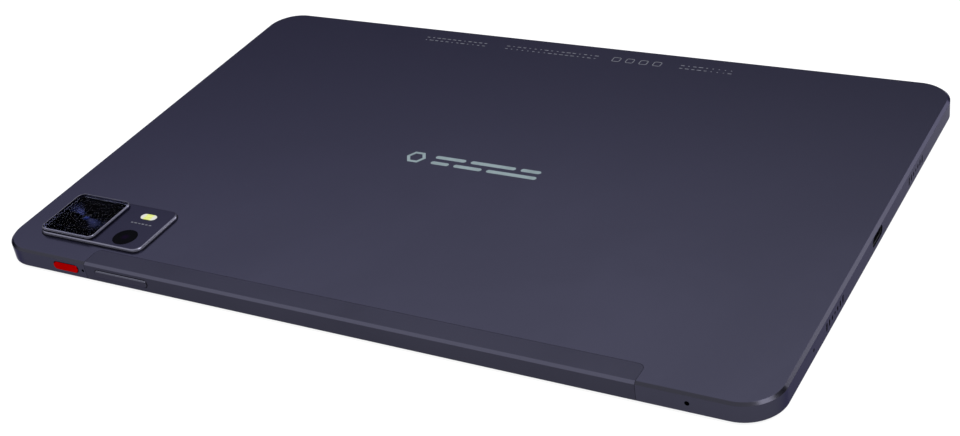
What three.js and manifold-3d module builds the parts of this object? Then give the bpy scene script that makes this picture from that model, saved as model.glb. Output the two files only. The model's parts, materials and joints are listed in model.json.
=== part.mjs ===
// An 11-inch tablet computer, lying on its display with its back up.
//
// Frame: millimetres, +Z out of the back, +X along the long edge towards the USB-C port, +Y along the short
// edge away from the keys. The origin is the middle of the display glass's outer face, which is what the
// tablet lies on.
//
// An aluminium rear cover holds the boards, the battery, the speakers and the cameras. The display, in its
// plastic bezel, closes the front. A plastic antenna cover fills a notch along the long edge that has the keys.

import * as THREE from 'three';
import { mergeVertices } from 'three/addons/utils/BufferGeometryUtils.js';
import Module from 'manifold-3d';

const wasm = await Module();
wasm.setup();

// ---------------------------------------------------------------- driving dimensions

// Rear cover
const LENGTH = 257;
const WIDTH = 168.5;
const CORNER_R = 11.4;
const COVER_DEPTH = 6.1; // from the rim to the back face
const SIDE_WALL = 1.3;
const SKIN = 0.8; // the back's thickness
const CHAMFER_IN = 0.9;
const CHAMFER_DOWN = 0.7;
const RIM_CHAMFER = 0.3;

// Clearances
const SEAM = 0.1; // between two fixed pieces of the outside
const STACK_GAP = 0.15; // adhesive or foam between stacked pieces
const KEY_CLEARANCE = 0.15; // round a key in its hole
const PLACE_GAP = 0.5; // between a board or cell and what is beside it
const FIT_GAP = 0.05; // between pieces that rest on each other

// Display
const GLASS_THICK = 0.7;
const GLASS_PROUD = 0.5; // how far the glass stands past the cover's rim
const BEZEL_LIP = 0.7;
const BEZEL_LIP_BACK = 0.25; // how far the lip stays behind the glass's outer face
const BEZEL_LEDGE = 0.9;
const BORDER = 10.5; // from the cover's outside to the picture, on each side
const PAN_MARGIN = 2.8; // from the picture to the backlight pan's outside
const CELL_THICK = 0.5;
const LIGHT_GUIDE_THICK = 0.9;
const PAN_WALL = 0.25;

// Antenna cover
const ANTENNA_FROM_END = 36.5; // from each short edge to its end
const ANTENNA_STRIP = 7.7; // how far it reaches onto the back
const ANTENNA_CORNER_R = 2;

// Keys, in the long edge at -Y
const KEY_HEIGHT = 2.7;
const KEY_PROUD = 0.4;
const KEY_FLANGE = 0.4; // thickness of the flange that keeps a key in
const KEY_FLANGE_LIP = 0.7;
const POWER_X = 28.5; // from the short edge at -X
const POWER_LENGTH = 9.9;
const POWER_TRAVEL = 0.3;
const VOLUME_X = 50.6;
const VOLUME_LENGTH = 20.6;
const VOLUME_SWING = 0.35; // room behind the wall for the flange's end as it rocks
const VOLUME_PRESS = 6; // from the pivot to each switch
const NUB_HALF = 0.8;
const NUB_HEIGHT = 0.25;
const SWITCH_LENGTH = 3.6;
const SWITCH_HEIGHT = 2.2;
const SWITCH_THICK = 0.5;
const FLEX_THICK = 0.12;
const BRACKET_THICK = 0.4;
const KEY_FLEX_HEIGHT = 3;
const KEY_FLEX_END = 1; // how far the keys' cable runs past them

// Openings in the edges
const MOUTH_LENGTH = 9;
const MOUTH_HEIGHT = 3.2;
const PORT_DEPTH = 6.9;
const PORT_WALL = 0.3;
const PORT_SUNK = 0.3; // from the wall's outer face to the port's mouth
const PORT_BACK = 1; // thickness of the shell's closed end
const PORT_GAP = 0.12;
const TONGUE_WIDTH = 6.7;
const TONGUE_THICK = 0.7;
const TONGUE_SUNK = 0.8; // from the port's mouth to the tongue
const SPEAKER_Y = 37.1; // from the middle of the short edge to each grille's middle
const SLOT_PITCH = 2.2;
const SLOT_WIDTH = 0.9;
const SLOT_HEIGHTS = [2.6, 2.1, 1.5, 0.95, 1.5, 2.1, 2.6];
const MIC_HOLE_R = 0.5;
const WIDE_MIC_HOLE_R = 0.7;
const KEY_MIC_X = 35.4; // from the short edge at -X
const EDGE_MIC_X = 22.4; // from the short edge at +X
const PORT_MIC_Y = 54; // from the middle of the short edge, towards -Y
const MIC_GAP = 0.3; // between the wall and a microphone
const MIC_THICK = 0.9;
const MIC_HEIGHT = 2;
const MIC_LENGTH = 3;
const KEY_MIC_HALF = 1; // the microphone between the keys is shorter
const KEY_MIC_OFFSET = 0.4; // and sits to one side of its hole, clear of the power key

// Card tray, in the long edge at +Y
const TRAY_X = 29;
const TRAY_FACE = 15;
const TRAY_FACE_HEIGHT = 2.6;
const TRAY_FACE_THICK = 1.2;
const TRAY_DEPTH = 24;
const TRAY_WIDTH = 13.4;
const TRAY_THICK = 0.6;
const TRAY_GAP = 0.15;
const READER_WALL = 0.2;
const TRAY_BAR = 1.3; // width of the carrier's bars round its nests
const TRAY_NEST = 10; // length of the inner card's nest
const EJECT_HOLE_R = 0.5;
const EJECT_FROM_END = 1.6; // from the end of the tray's face to the eject hole
const READER_FROM_WALL = 2;

// Camera island and what stands on it
const ISLAND_FROM_END = 9.8; // from the short edge at -X
const ISLAND_FROM_KEYS = 9.25; // from the long edge at -Y
const LENS_ZONE = 19.05; // length of the island past the main lens frame
const ISLAND_R = 3.4;
const ISLAND_PROUD = 1.05;
const ISLAND_TOP = 0.8; // thickness of the island's top
const ISLAND_RIM = 1.2;
const ISLAND_EDGE = 0.3; // the bevel round its top, and round the frame's
const FRAME_SIZE = 21.8;
const FRAME_R = 2.6;
const FRAME_HEIGHT = 1.0;
const FRAME_WALL = 0.5;
const FRAME_INSET = 0.4; // from the island's end to the frame
const FRAME_MARGIN = 0.65; // from the island's long sides to the frame
const FRAME_SHELF = 0.8; // width of the shelf that the lens glass rests over
const FRAME_SHELF_THICK = 0.35;
const LENS_OPENING_LIP = 0.6; // from the frame's inside to the island's opening under it
const LENS_GLASS = 0.5;
const GLASS_SUNK = 0.05; // how far the lens glass lies below its frame's top
const LENS_TRIM = 0.3;
const MODULE_GAP = 0.15; // between the island's top and a camera module
const SECOND_GLASS_PROUD = 0.05;
const APERTURE_R = 2;
const SECOND_FROM_END = 9.25; // from the island's end to the second lens's middle
const SECOND_FROM_SIDE = 5.7; // from the island's side at -Y
const SECOND_R = 4.0;
const FLASH_FROM_END = 9.05;
const FLASH_FROM_SIDE = 5.4; // from the island's side at +Y
const FLASH_LENGTH = 6;
const FLASH_WIDTH = 3;
const LED_THICK = 0.65;
const MAIN_MODULE = 8.5;
const BARREL_R = 3.1;
const FOCUS_TRAVEL = 0.25; // how far the lens barrel rises to focus
const SECOND_MODULE = 6.5;
const FRONT_CAMERA = 5;
const FRONT_LENS_R = 1.6;
const SENSOR_THICK = 0.4;

// Antenna carriers, inside the antenna cover
const CARRIER_WIDTH = 4.2;
const CARRIER_TOP = 0.9;

// Boards
const BOARD_THICK = 0.8;
const BOSS_HEIGHT = 1.1;
const BOSS_R = 1.9;
const SCREW_R = 0.7;
const SCREW_HEAD_R = 1.3;
const SCREW_HEAD = 0.45;
const SCREW_GAP = 0.15;
const CROSS_WIDTH = 0.3; // the cross cut into each screw's head
const CROSS_DEPTH = 0.25;
const BOARD_EDGE = 16.4; // from the short edge to the main board, past the speakers
const MAIN_BOARD_WIDTH = 28;
const BOARD_MARGIN = 2; // from a board's side to its screws
const SUB_BOARD_WIDTH = 24;
const SHIELD_MARGIN = 4.4;
const SHIELD_WALL = 0.25;
const SHIELD_GAP = 2;
const CONNECTOR_HEIGHT = 0.77; // with the end of its cable
const CONNECTOR_HALF = 1.4;
const CONNECTOR_FROM_EDGE = 3.4;
const LINK_FLEX = [8, 18]; // where each flat cable's sides are, along Y
const DISPLAY_FLEX = [-30, -14];

// Speakers and battery
const SPEAKER_LENGTH = 24;
const SPEAKER_WIDTH = 11.6;
const SPEAKER_GAP = 0.6; // between a speaker and the mesh behind its grille, with the wall's clearance
const MESH_LENGTH = 16;
const MESH_HEIGHT = 3.2;
const MESH_THICK = 0.3;
const BATTERY_LENGTH = 112;
const BATTERY_R = 2;
const BATTERY_Y = 8; // the middle of the cells, from the middle of the tablet
const BATTERY_GAP = 3; // between a cell and the board beside it
const CELL_GAP = 1;
const BATTERY_BOARD_LENGTH = 80;
const BATTERY_BOARD_WIDTH = 5;
const BATTERY_BOARD_THICK = 1.2;

// Straight segments in half of each rounded corner
const OUTLINE_ARC = 4;
const SMALL_ARC = 2;
const SLOT_ARC = 1;
const HOLE_ARC = 5;

// ---------------------------------------------------------------- levels and edges worked out from them

const rimZ = GLASS_PROUD;
const backZ = rimZ + COVER_DEPTH;
const skinZ = backZ - SKIN;
const sideMidZ = rimZ + COVER_DEPTH / 2; // the height of the keys, grilles and small holes
const left = -LENGTH / 2;
const right = LENGTH / 2;
const near = -WIDTH / 2;
const far = WIDTH / 2;
const innerLength = LENGTH - 2 * SIDE_WALL;
const innerWidth = WIDTH - 2 * SIDE_WALL;
const innerR = CORNER_R - SIDE_WALL;
const antennaLength = LENGTH - 2 * ANTENNA_FROM_END;

const bezelLength = innerLength - 2 * SEAM;
const bezelWidth = innerWidth - 2 * SEAM;
const bezelR = innerR - SEAM;
const glassInset = BEZEL_LIP + STACK_GAP;
const ledgeZ = GLASS_THICK + SEAM;
const panLength = LENGTH - 2 * (BORDER - PAN_MARGIN);
const panWidth = WIDTH - 2 * (BORDER - PAN_MARGIN);
const cellZ = GLASS_THICK + STACK_GAP;
const guideZ = cellZ + CELL_THICK + FIT_GAP;
const panZ = guideZ + LIGHT_GUIDE_THICK + FIT_GAP;
const displayBackZ = panZ + PAN_WALL;

const flexZ = displayBackZ + STACK_GAP; // flat cables lie here, between the display and the cells
const partsZ = flexZ + FLEX_THICK + STACK_GAP; // cells and speakers start here
const partsTopZ = skinZ - STACK_GAP;
const boardTopZ = skinZ - BOSS_HEIGHT;
const boardZ = boardTopZ - BOARD_THICK;

const portX = right - PORT_SUNK;
const portZ = skinZ - STACK_GAP - MOUTH_HEIGHT / 2;
const island = {
  x0: left + ISLAND_FROM_END,
  x1: left + ISLAND_FROM_END + FRAME_INSET + FRAME_SIZE + LENS_ZONE,
  y0: near + ISLAND_FROM_KEYS,
  y1: near + ISLAND_FROM_KEYS + FRAME_SIZE + 2 * FRAME_MARGIN,
};
const secondX = island.x1 - SECOND_FROM_END;
const secondY = island.y0 + SECOND_FROM_SIDE;
const flashX = island.x1 - FLASH_FROM_END;
const flashY = island.y1 - FLASH_FROM_SIDE;
const islandTopZ = backZ + ISLAND_PROUD;
const islandBaseZ = skinZ + SEAM;
const frameTopZ = islandTopZ + FRAME_HEIGHT;
const glassZ = frameTopZ - GLASS_SUNK - LENS_GLASS;
const trimZ = glassZ - FIT_GAP - LENS_TRIM;
const moduleTopZ = islandTopZ - ISLAND_TOP - MODULE_GAP;
const mainX = island.x0 + FRAME_INSET + FRAME_SIZE / 2;
const mainY = (island.y0 + island.y1) / 2;

const mainBoard = {
  x0: left + BOARD_EDGE,
  x1: left + BOARD_EDGE + MAIN_BOARD_WIDTH,
  y0: island.y1 + 2,
  y1: far - SIDE_WALL - 6.3,
};
const subBoard = {
  x0: right - SIDE_WALL - PLACE_GAP - SUB_BOARD_WIDTH,
  x1: right - SIDE_WALL - PLACE_GAP,
  y0: -SPEAKER_Y + SPEAKER_LENGTH / 2 + PLACE_GAP,
  y1: SPEAKER_Y - SPEAKER_LENGTH / 2 - PLACE_GAP,
};
const trayX = left + TRAY_X;
const frontCameraY = near + SIDE_WALL + PLACE_GAP + FRONT_CAMERA / 2;
const trayZ = boardZ - TRAY_GAP - TRAY_THICK; // the underside of the tray's carrier
const readerZ = trayZ - TRAY_GAP - READER_WALL;

// ---------------------------------------------------------------- finishes

function finish(color, roughness, metalness = 0) {
  return new THREE.MeshStandardMaterial({ color, roughness, metalness });
}

const anodised = finish(0x3f3f50, 0.45, 0.6);
const antennaPlastic = finish(0x3a3a48, 0.5);
const polishedMetal = finish(0x85859a, 0.25, 0.9);
const blackGlass = finish(0x07070b, 0.08);
const lensGlass = finish(0x05060a, 0.05);
const redKey = finish(0xb00206, 0.4);
const blackPlastic = finish(0x16161a, 0.55);
const whitePlastic = finish(0xd8d8d2, 0.4);
const steel = finish(0xa9abad, 0.35, 0.9);
const boardGreen = finish(0x1d4a3a, 0.5);
const foil = finish(0xb9bcc0, 0.4, 0.7);
const flexAmber = finish(0x8a5a1c, 0.45);
const graphite = finish(0x2a2a2c, 0.6);
const phosphor = finish(0xd8d21c, 0.4);

// ---------------------------------------------------------------- solids

function solid(geometry) {
  const bare = geometry.index ? geometry.toNonIndexed() : geometry;
  bare.deleteAttribute('normal');
  bare.deleteAttribute('uv');
  const merged = mergeVertices(bare, 1e-4);
  return new wasm.Manifold(
    new wasm.Mesh({
      numProp: 3,
      vertProperties: new Float32Array(merged.attributes.position.array),
      triVerts: new Uint32Array(merged.index.array),
    }),
  );
}

function meshOf(name, body, material) {
  const { numProp, numVert, vertProperties, triVerts } = body.getMesh();
  const places = new Float32Array(numVert * 3);
  for (let i = 0; i < numVert; i++) {
    places.set(vertProperties.subarray(i * numProp, i * numProp + 3), i * 3);
  }
  const geometry = new THREE.BufferGeometry();
  geometry.setAttribute('position', new THREE.BufferAttribute(places, 3));
  geometry.setIndex(new THREE.BufferAttribute(new Uint32Array(triVerts), 1));
  geometry.computeVertexNormals();
  const mesh = new THREE.Mesh(geometry, material);
  mesh.name = name;
  return mesh;
}

const cut = (body, ...tools) => tools.reduce((rest, tool) => rest.subtract(tool), body);
const join = (...bodies) => bodies.reduce((joined, body) => joined.add(body));

function box(x0, x1, y0, y1, z0, z1) {
  const block = new THREE.BoxGeometry(x1 - x0, y1 - y0, z1 - z0);
  return solid(block.translate((x0 + x1) / 2, (y0 + y1) / 2, (z0 + z1) / 2));
}

// An outline with four round corners. A radius of half its height makes round ends.
function roundedRect(length, height, radius, x = 0, y = 0) {
  const r = Math.min(radius, length / 2 - 1e-3, height / 2 - 1e-3);
  const a = length / 2 - r;
  const b = height / 2 - r;
  const turn = Math.PI / 2;
  const shape = new THREE.Shape();
  shape.absarc(x + a, y + b, r, 0, turn);
  shape.absarc(x - a, y + b, r, turn, 2 * turn);
  shape.absarc(x - a, y - b, r, 2 * turn, 3 * turn);
  shape.absarc(x + a, y - b, r, 3 * turn, 4 * turn);
  return shape;
}

const pill = (length, height, x, y) => roundedRect(length, height, height, x, y);

function circle(radius, x = 0, y = 0) {
  const shape = new THREE.Shape();
  shape.absarc(x, y, radius, 0, 2 * Math.PI);
  return shape;
}

// A straight prism. Its outline lies in the plane xy, yz or xz, and it runs from low to high along the other
// axis.
const PLANES = {
  xy: new THREE.Matrix4(),
  yz: new THREE.Matrix4().set(0, 0, 1, 0, 1, 0, 0, 0, 0, 1, 0, 0, 0, 0, 0, 1),
  xz: new THREE.Matrix4().set(1, 0, 0, 0, 0, 0, -1, 0, 0, 1, 0, 0, 0, 0, 0, 1),
};

function prism(outline, low, high, plane = 'xy', arc = SMALL_ARC) {
  const body = new THREE.ExtrudeGeometry(outline, {
    depth: high - low,
    bevelEnabled: false,
    curveSegments: arc,
  });
  body.translate(0, 0, plane === 'xz' ? -high : low);
  return solid(body.applyMatrix4(PLANES[plane]));
}

// A rod along Z.
function rod(radius, low, high, x = 0, y = 0, sides = 16) {
  return prism(circle(radius, x, y), low, high, 'xy', sides / 2);
}

// A solid through rounded rectangles of one size at several levels, each pulled in by its own inset.
function lofted(length, height, radius, levels, arc = OUTLINE_ARC) {
  const rings = levels.map(({ z, inset }) => {
    const outline = roundedRect(length - 2 * inset, height - 2 * inset, radius - inset);
    return outline.extractPoints(arc).shape.map((p) => [p.x, p.y, z]);
  });
  const sides = rings[0].length;
  const places = rings.flat(2);
  const faces = [];
  for (let level = 0; level + 1 < rings.length; level++) {
    for (let i = 0; i < sides; i++) {
      const a = level * sides + i;
      const b = level * sides + ((i + 1) % sides);
      faces.push(a, b, b + sides, a, b + sides, a + sides);
    }
  }
  const top = (rings.length - 1) * sides;
  for (let i = 1; i + 1 < sides; i++) {
    faces.push(0, i + 1, i, top, top + i, top + i + 1);
  }
  const geometry = new THREE.BufferGeometry();
  geometry.setAttribute('position', new THREE.Float32BufferAttribute(places, 3));
  geometry.setIndex(faces);
  return solid(geometry);
}

// ---------------------------------------------------------------- rear cover and antenna cover

// The whole tablet's outside: a small chamfer at the rim, upright sides, then a wide chamfer up to the back.
const outside = lofted(LENGTH, WIDTH, CORNER_R, [
  { z: rimZ, inset: RIM_CHAMFER },
  { z: rimZ + RIM_CHAMFER, inset: 0 },
  { z: backZ - CHAMFER_DOWN, inset: 0 },
  { z: backZ, inset: CHAMFER_IN },
]);
const hollow = prism(roundedRect(innerLength, innerWidth, innerR), rimZ - 1, skinZ, 'xy', OUTLINE_ARC);
const shell = outside.subtract(hollow);

// What the antenna cover takes out of the shell, grown by a clearance on every side that meets the metal.
function antennaNotch(clearance) {
  const reach = 10; // past the outside
  const height = ANTENNA_STRIP + clearance + reach;
  const outline = roundedRect(
    antennaLength + 2 * clearance,
    height,
    ANTENNA_CORNER_R + clearance,
    0,
    near + ANTENNA_STRIP + clearance - height / 2,
  );
  return prism(outline, rimZ - 1, backZ + 1);
}

const powerX = left + POWER_X;
const volumeX = left + VOLUME_X;

function keyHole(x, length) {
  const outline = pill(length + 2 * KEY_CLEARANCE, KEY_HEIGHT + 2 * KEY_CLEARANCE, x, sideMidZ);
  return prism(outline, near - 1, near + SIDE_WALL + 1, 'xz');
}

const slotY = (side, i) => side * SPEAKER_Y + (i - (SLOT_HEIGHTS.length - 1) / 2) * SLOT_PITCH;

function grille(side, low, high) {
  const slots = SLOT_HEIGHTS.map((height, i) =>
    prism(pill(SLOT_WIDTH, height, slotY(side, i), sideMidZ), low, high, 'yz', SLOT_ARC),
  );
  return join(...slots);
}

// The island's outline, drawn in by an inset.
function islandOutline(inset) {
  const length = island.x1 - island.x0 - 2 * inset;
  const width = island.y1 - island.y0 - 2 * inset;
  return roundedRect(length, width, ISLAND_R - inset, (island.x0 + island.x1) / 2, mainY);
}

const boardScrews = [
  ...[mainBoard.y0 + BOARD_MARGIN, mainBoard.y1 - BOARD_MARGIN].flatMap((y) => [
    { name: 'main_board_screw', x: mainBoard.x0 + BOARD_MARGIN, y },
    { name: 'main_board_screw', x: mainBoard.x1 - BOARD_MARGIN, y },
  ]),
  { name: 'sub_board_screw', x: subBoard.x0 + BOARD_MARGIN, y: subBoard.y0 + BOARD_MARGIN },
  { name: 'sub_board_screw', x: subBoard.x0 + BOARD_MARGIN, y: subBoard.y1 - BOARD_MARGIN },
];

function rearCover() {
  const wallHole = (radius, x) =>
    prism(circle(radius, x, sideMidZ), near - 1, near + SIDE_WALL + 1, 'xz', HOLE_ARC);
  const bosses = boardScrews.map(({ x, y }) => rod(BOSS_R, boardTopZ, skinZ + SKIN / 2, x, y, 12));
  const pilots = boardScrews.map(({ x, y }) => rod(SCREW_R + SCREW_GAP, boardTopZ - 1, skinZ, x, y, 8));
  const mouth = pill(MOUTH_LENGTH, MOUTH_HEIGHT, 0, portZ);
  const trayHole = roundedRect(TRAY_FACE + 2 * TRAY_GAP, TRAY_FACE_HEIGHT + 2 * TRAY_GAP, 1, trayX, sideMidZ);
  return cut(
    join(shell, ...bosses),
    ...pilots,
    antennaNotch(SEAM),
    keyHole(powerX, POWER_LENGTH),
    wallHole(MIC_HOLE_R, left + KEY_MIC_X),
    wallHole(WIDE_MIC_HOLE_R, right - EDGE_MIC_X),
    prism(mouth, right - SIDE_WALL - 1, right + 1, 'yz'),
    prism(circle(MIC_HOLE_R, -PORT_MIC_Y, sideMidZ), right - SIDE_WALL - 1, right + 1, 'yz', HOLE_ARC),
    ...[-1, 1].flatMap((side) => [
      grille(side, right - SIDE_WALL - 1, right + 1),
      grille(side, left - 1, left + SIDE_WALL + 1),
    ]),
    prism(trayHole, far - SIDE_WALL - 1, far + 1, 'xz'),
    prism(islandOutline(-SEAM), skinZ - 1, backZ + 1),
  );
}

function antennaCover() {
  return cut(shell.intersect(antennaNotch(0)), keyHole(volumeX, VOLUME_LENGTH));
}

// ---------------------------------------------------------------- display

function bezel() {
  const outer = roundedRect(bezelLength, bezelWidth, bezelR);
  const seat = roundedRect(bezelLength - 2 * BEZEL_LIP, bezelWidth - 2 * BEZEL_LIP, bezelR - BEZEL_LIP);
  const opening = roundedRect(panLength + 0.5, panWidth + 0.5, 2);
  const cameraHole = rod(FRONT_LENS_R + SEAM, -1, ledgeZ + BEZEL_LEDGE + 1, 0, frontCameraY);
  return cut(
    prism(outer, BEZEL_LIP_BACK, ledgeZ + BEZEL_LEDGE, 'xy', OUTLINE_ARC),
    prism(seat, -1, ledgeZ, 'xy', OUTLINE_ARC),
    prism(opening, -1, ledgeZ + BEZEL_LEDGE + 1),
    cameraHole,
  );
}

function displayGlass() {
  const length = bezelLength - 2 * glassInset;
  const width = bezelWidth - 2 * glassInset;
  return lofted(length, width, bezelR - glassInset, [
    { z: 0, inset: 0.25 },
    { z: 0.25, inset: 0 },
    { z: GLASS_THICK, inset: 0 },
  ]);
}

function backlightPan() {
  const outer = roundedRect(panLength, panWidth, 1.2);
  const inner = roundedRect(panLength - 2 * PAN_WALL, panWidth - 2 * PAN_WALL, 0.95);
  return cut(prism(outer, cellZ, displayBackZ), prism(inner, cellZ - 1, panZ));
}

function panLayer(thick, z) {
  const clearance = 2 * (PAN_WALL + SEAM);
  return prism(roundedRect(panLength - clearance, panWidth - clearance, 0.8), z, z + thick);
}

function display() {
  const group = new THREE.Group();
  group.add(
    meshOf('display_glass', displayGlass(), blackGlass),
    meshOf('display_bezel', bezel(), blackPlastic),
    meshOf('lcd_cell', panLayer(CELL_THICK, cellZ), blackGlass),
    meshOf('backlight_guide', panLayer(LIGHT_GUIDE_THICK, guideZ), whitePlastic),
    meshOf('backlight_pan', backlightPan(), steel),
  );
  return group;
}

// ---------------------------------------------------------------- keys and their switches

const wallInsideY = near + SIDE_WALL;
const powerFlangeY = wallInsideY + SEAM;
const volumeFlangeY = wallInsideY + VOLUME_SWING;
const volumeNubY = volumeFlangeY + KEY_FLANGE + NUB_HEIGHT;
const switchY = volumeNubY + VOLUME_SWING;
const powerNubY = switchY - POWER_TRAVEL - FIT_GAP;
const flexY = switchY + SWITCH_THICK + FIT_GAP;
const bracketY = flexY + FLEX_THICK + FIT_GAP;

// A key: a cap with round ends through the wall, a flange behind it that keeps it in, and a nub for each
// switch. It is made about its own middle.
function key(length, flangeY, nubY, presses) {
  const flange = pill(length + 2 * KEY_FLANGE_LIP, KEY_HEIGHT + KEY_FLANGE_LIP, 0, 0);
  const nubs = presses.map((x) =>
    box(x - NUB_HALF, x + NUB_HALF, flangeY + KEY_FLANGE / 2, nubY, -NUB_HALF, NUB_HALF),
  );
  return join(
    prism(pill(length, KEY_HEIGHT, 0, 0), near - KEY_PROUD, flangeY + KEY_FLANGE / 2, 'xz'),
    prism(flange, flangeY, flangeY + KEY_FLANGE, 'xz'),
    ...nubs,
  );
}

function placed(mesh, x, y, z) {
  mesh.position.set(x, y, z);
  return mesh;
}

function keys() {
  const power = key(POWER_LENGTH, powerFlangeY, powerNubY, [0]);
  const volume = key(VOLUME_LENGTH, volumeFlangeY, volumeNubY, [-VOLUME_PRESS, VOLUME_PRESS]);
  const switchHalf = [SWITCH_LENGTH / 2, SWITCH_HEIGHT / 2];
  const dome = box(-switchHalf[0], switchHalf[0], 0, SWITCH_THICK, -switchHalf[1], switchHalf[1]);
  const x0 = powerX - POWER_LENGTH / 2 - KEY_FLEX_END;
  const x1 = volumeX + VOLUME_LENGTH / 2 + KEY_FLEX_END;
  const bottom = sideMidZ - KEY_FLEX_HEIGHT / 2;
  const flexTop = sideMidZ + KEY_FLEX_HEIGHT / 2;
  const bracketTop = skinZ - STACK_GAP;
  const group = new THREE.Group();
  group.add(
    placed(meshOf('power_button', power, redKey), powerX, 0, sideMidZ),
    placed(meshOf('volume_rocker', volume, antennaPlastic), volumeX, 0, sideMidZ),
    placed(meshOf('power_switch', dome, steel), powerX, switchY, sideMidZ),
    placed(meshOf('volume_up_switch', dome, steel), volumeX - VOLUME_PRESS, switchY, sideMidZ),
    placed(meshOf('volume_down_switch', dome, steel), volumeX + VOLUME_PRESS, switchY, sideMidZ),
    meshOf('side_key_flex', box(x0, x1, flexY, flexY + FLEX_THICK, bottom, flexTop), flexAmber),
    meshOf('side_key_bracket', box(x0, x1, bracketY, bracketY + BRACKET_THICK, bottom, bracketTop), steel),
  );
  return group;
}

// ---------------------------------------------------------------- cameras

function cameraIsland() {
  const body = lofted(island.x1 - island.x0, island.y1 - island.y0, ISLAND_R, [
    { z: islandBaseZ, inset: 0 },
    { z: islandTopZ - ISLAND_EDGE, inset: 0 },
    { z: islandTopZ, inset: ISLAND_EDGE },
  ]).translate([(island.x0 + island.x1) / 2, mainY, 0]);
  const opening = FRAME_SIZE - 2 * (FRAME_WALL + LENS_OPENING_LIP);
  const flash = pill(FLASH_LENGTH + 2 * SEAM, FLASH_WIDTH + 2 * SEAM, flashX, flashY);
  return cut(
    body,
    prism(islandOutline(ISLAND_RIM), islandBaseZ - 1, islandTopZ - ISLAND_TOP),
    prism(roundedRect(opening, opening, FRAME_R - FRAME_WALL, mainX, mainY), backZ - 2, islandTopZ + 1),
    rod(SECOND_R + SEAM, backZ - 2, islandTopZ + 1, secondX, secondY, 24),
    prism(flash, backZ - 2, islandTopZ + 1),
  );
}

function mainLensFrame() {
  const seat = FRAME_SIZE - 2 * FRAME_WALL;
  const shelf = seat - 2 * FRAME_SHELF;
  const z = islandTopZ + FIT_GAP;
  return cut(
    lofted(FRAME_SIZE, FRAME_SIZE, FRAME_R, [
      { z, inset: 0 },
      { z: frameTopZ - ISLAND_EDGE, inset: 0 },
      { z: frameTopZ, inset: ISLAND_EDGE },
    ]).translate([mainX, mainY, 0]),
    prism(roundedRect(seat, seat, FRAME_R - FRAME_WALL, mainX, mainY), z + FRAME_SHELF_THICK, frameTopZ + 1),
    prism(roundedRect(shelf, shelf, 1, mainX, mainY), z - 1, frameTopZ + 1),
  );
}

function mainLensGlass() {
  const size = FRAME_SIZE - 2 * FRAME_WALL - 2 * SEAM;
  const outline = roundedRect(size, size, FRAME_R - FRAME_WALL - SEAM, mainX, mainY);
  return prism(outline, glassZ, glassZ + LENS_GLASS);
}

// The grooved plate under the glass, with the camera's own aperture in it.
function mainLensTrim() {
  const size = FRAME_SIZE - 2 * (FRAME_WALL + FRAME_SHELF + SEAM);
  const top = trimZ + LENS_TRIM;
  return cut(
    prism(roundedRect(size, size, 0.9, mainX, mainY), trimZ, top),
    rod(APERTURE_R, top - 2, top + 1, mainX, mainY),
  );
}

function mainCamera() {
  const half = MAIN_MODULE / 2;
  const sensorZ = displayBackZ + STACK_GAP;
  const housingZ = sensorZ + SENSOR_THICK + FIT_GAP;
  const barrelZ = housingZ + 0.6;
  const barrelTop = trimZ - FOCUS_TRAVEL - 0.2;
  const housing = cut(
    box(-half, half, -half, half, housingZ, moduleTopZ),
    rod(BARREL_R + 0.3, barrelZ - 0.3, moduleTopZ + 1),
    rod(1.6, housingZ - 1, moduleTopZ),
  );
  const barrel = cut(
    join(rod(BARREL_R, barrelZ, barrelTop - 0.4), rod(BARREL_R - 0.4, barrelTop - 0.5, barrelTop)),
    rod(1.1, barrelTop - 0.6, barrelTop + 1),
  );
  const tail = box(-2.5, 2.5, half - 1, mainBoard.y0 - mainY + 4, sensorZ, sensorZ + FLEX_THICK);
  const sensorBoard = join(box(-half, half, -half, half, sensorZ, sensorZ + SENSOR_THICK), tail);
  const group = new THREE.Group();
  group.position.set(mainX, mainY, 0);
  group.add(
    meshOf('main_camera_housing', housing, blackPlastic),
    meshOf('main_camera_lens_barrel', barrel, blackPlastic),
    meshOf('main_camera_sensor_board', sensorBoard, flexAmber),
  );
  return group;
}

function secondCamera() {
  const half = SECOND_MODULE / 2;
  const z = partsZ + 0.3;
  const body = join(
    box(-half, half, -half, half, z, moduleTopZ - 1),
    rod(2.6, moduleTopZ - 1.2, moduleTopZ),
  );
  const bored = cut(body, rod(1, moduleTopZ - 0.3, moduleTopZ + 1));
  return placed(meshOf('second_camera_module', bored, blackPlastic), secondX, secondY, 0);
}

function cameras() {
  const coverZ = islandTopZ - ISLAND_TOP + SEAM;
  const secondGlass = rod(SECOND_R, coverZ, islandTopZ + SECOND_GLASS_PROUD, secondX, secondY, 24);
  const flashWindow = prism(pill(FLASH_LENGTH, FLASH_WIDTH, flashX, flashY), coverZ, islandTopZ);
  const ledHalf = [0.4 * FLASH_LENGTH, 0.36 * FLASH_WIDTH];
  const led = box(
    flashX - ledHalf[0],
    flashX + ledHalf[0],
    flashY - ledHalf[1],
    flashY + ledHalf[1],
    coverZ - SEAM - LED_THICK,
    coverZ - SEAM,
  );
  const group = new THREE.Group();
  group.add(
    meshOf('camera_island', cameraIsland(), anodised),
    meshOf('main_lens_frame', mainLensFrame(), polishedMetal),
    meshOf('main_lens_glass', mainLensGlass(), lensGlass),
    meshOf('main_lens_trim', mainLensTrim(), graphite),
    meshOf('second_lens_glass', secondGlass, lensGlass),
    meshOf('flash_window', flashWindow, whitePlastic),
    meshOf('flash_led', led, phosphor),
    mainCamera(),
    secondCamera(),
  );
  return group;
}

// It looks out through the display glass's border, in the middle of the long edge that has the keys.
function frontCamera() {
  const half = FRONT_CAMERA / 2;
  const body = join(
    box(-half, half, frontCameraY - half, frontCameraY + half, displayBackZ + 0.2, partsTopZ - 0.6),
    rod(FRONT_LENS_R, cellZ, displayBackZ + 0.3, 0, frontCameraY),
  );
  return meshOf('front_camera_module', body, blackPlastic);
}

// ---------------------------------------------------------------- boards

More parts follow.
